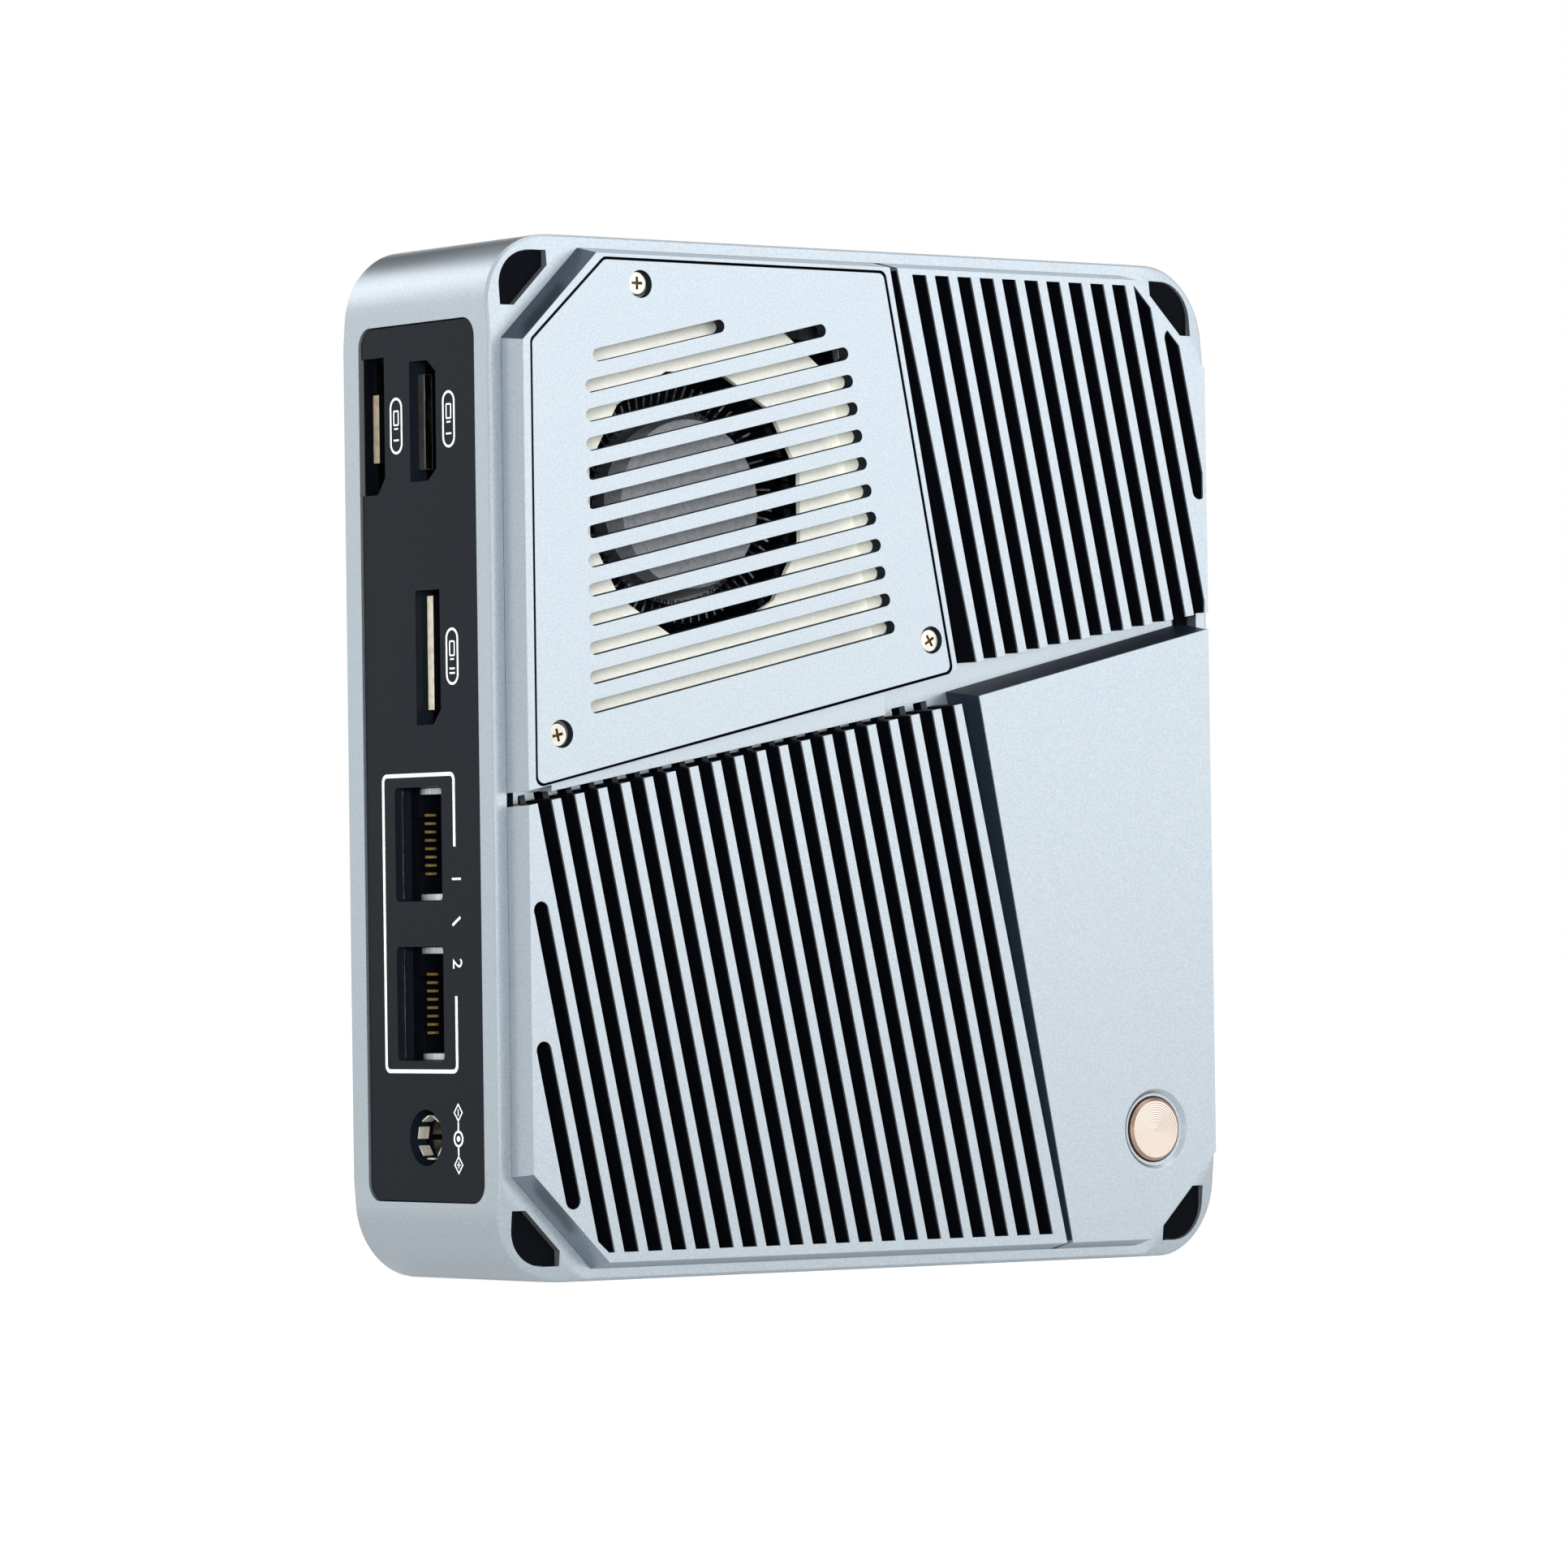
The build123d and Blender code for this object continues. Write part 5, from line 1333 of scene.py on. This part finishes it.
def studio_camera(scene, studio):
    """Camera at the place, turn and focal length that the settings give."""
    lens = bpy.data.cameras.new("studio_camera")
    lens.lens = studio.lens
    lens.sensor_width = 36.0
    lens.clip_start = 0.01
    lens.clip_end = 50.0
    camera = bpy.data.objects.new("studio_camera", lens)
    scene.collection.objects.link(camera)
    camera.matrix_world = (
        Matrix.Translation(studio.place)
        @ Matrix.Rotation(studio.yaw, 4, "Z")
        @ Matrix.Rotation(math.radians(90) + studio.tilt, 4, "X")
        @ Matrix.Rotation(studio.roll, 4, "Z"))
    return camera


def floor_look():
    """Pale floor that reads as white to the camera, dimmer in reflections, and keeps the shadow."""
    material = bpy.data.materials.new("studio_floor")
    material.use_nodes = True
    tree = material.node_tree
    body = tree.nodes["Principled BSDF"]
    body.inputs["Roughness"].default_value = 0.9
    body.inputs["Specular IOR Level"].default_value = 0.0
    body.inputs["Base Color"].default_value = (0.8, 0.8, 0.8, 1)
    glow = add_node(tree, "ShaderNodeEmission")
    glow.inputs["Color"].default_value = (1, 1, 1, 1)
    rays = add_node(tree, "ShaderNodeLightPath").outputs
    mirrored = math_node(tree, "MULTIPLY", 0.5)
    seen = math_node(tree, "MAXIMUM")
    level = math_node(tree, "MULTIPLY", 0.68)
    both = add_node(tree, "ShaderNodeAddShader")
    wire(tree,
         (rays["Is Camera Ray"], seen.inputs[0]),
         (rays["Is Glossy Ray"], mirrored.inputs[0]),
         (mirrored.outputs[0], seen.inputs[1]),
         (seen.outputs[0], level.inputs[0]),
         (level.outputs[0], glow.inputs["Strength"]),
         (body.outputs[0], both.inputs[0]),
         (glow.outputs[0], both.inputs[1]),
         (both.outputs[0], tree.nodes["Material Output"].inputs["Surface"]))
    return material


def backdrop_world(scene, sky):
    """White to the camera and in reflections, a softer level as light."""
    world = bpy.data.worlds.new("studio_world")
    scene.world = world
    world.use_nodes = True
    tree = world.node_tree
    shine = tree.nodes["Background"]
    rays = add_node(tree, "ShaderNodeLightPath").outputs
    seen = math_node(tree, "MAXIMUM")
    mirrored = math_node(tree, "MAXIMUM")
    level = add_node(tree, "ShaderNodeMapRange")
    level.inputs["To Min"].default_value = sky
    level.inputs["To Max"].default_value = 1.0
    tint = add_node(tree, "ShaderNodeMix", data_type="RGBA")
    tint.inputs[6].default_value = (0.955, 0.98, 1, 1)
    tint.inputs[7].default_value = (1, 1, 1, 1)
    wire(tree,
         (rays["Is Camera Ray"], seen.inputs[0]),
         (rays["Is Transmission Ray"], seen.inputs[1]),
         (seen.outputs[0], mirrored.inputs[0]),
         (rays["Is Glossy Ray"], mirrored.inputs[1]),
         (mirrored.outputs[0], level.inputs["Value"]),
         (seen.outputs[0], tint.inputs["Factor"]),
         (tint.outputs[2], shine.inputs["Color"]),
         (level.outputs["Result"], shine.inputs["Strength"]))


OPERATORS = (
    MINI_OT_case, MINI_OT_fan_cover, MINI_OT_fan, MINI_OT_button, MINI_OT_sockets, MINI_OT_marks,
    MINI_OT_inside, MINI_OT_back, MINI_OT_studio,
)


class MINI_PT_panel(bpy.types.Panel):
    """Lists the steps and the settings"""
    bl_idname = "MINI_PT_panel"
    bl_label = "Mini computer"
    bl_space_type = "VIEW_3D"
    bl_region_type = "UI"
    bl_category = "Mini computer"

    def draw(self, context):
        column = self.layout.column(align=True)
        for step in OPERATORS:
            column.operator(step.bl_idname)
        for holder in GROUPS:
            box = self.layout.box()
            settings = getattr(context.scene, holder)
            for key in settings.bl_rna.properties.keys():
                if key not in ("rna_type", "name"):
                    box.prop(settings, key)


def register():
    """Register the settings, the operators and the panel."""
    for holder, settings in GROUPS.items():
        bpy.utils.register_class(settings)
        setattr(bpy.types.Scene, holder, PointerProperty(type=settings))
    for step in (*OPERATORS, MINI_PT_panel):
        bpy.utils.register_class(step)


def unregister():
    """Take the add-on's classes and settings out again."""
    for step in reversed((*OPERATORS, MINI_PT_panel)):
        bpy.utils.unregister_class(step)
    for holder, settings in GROUPS.items():
        delattr(bpy.types.Scene, holder)
        bpy.utils.unregister_class(settings)


def main():
    """Run every step in order."""
    register()
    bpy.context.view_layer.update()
    for step in OPERATORS:
        group, name = step.bl_idname.split(".")
        getattr(getattr(bpy.ops, group), name)()


if __name__ == "__main__":
    main()
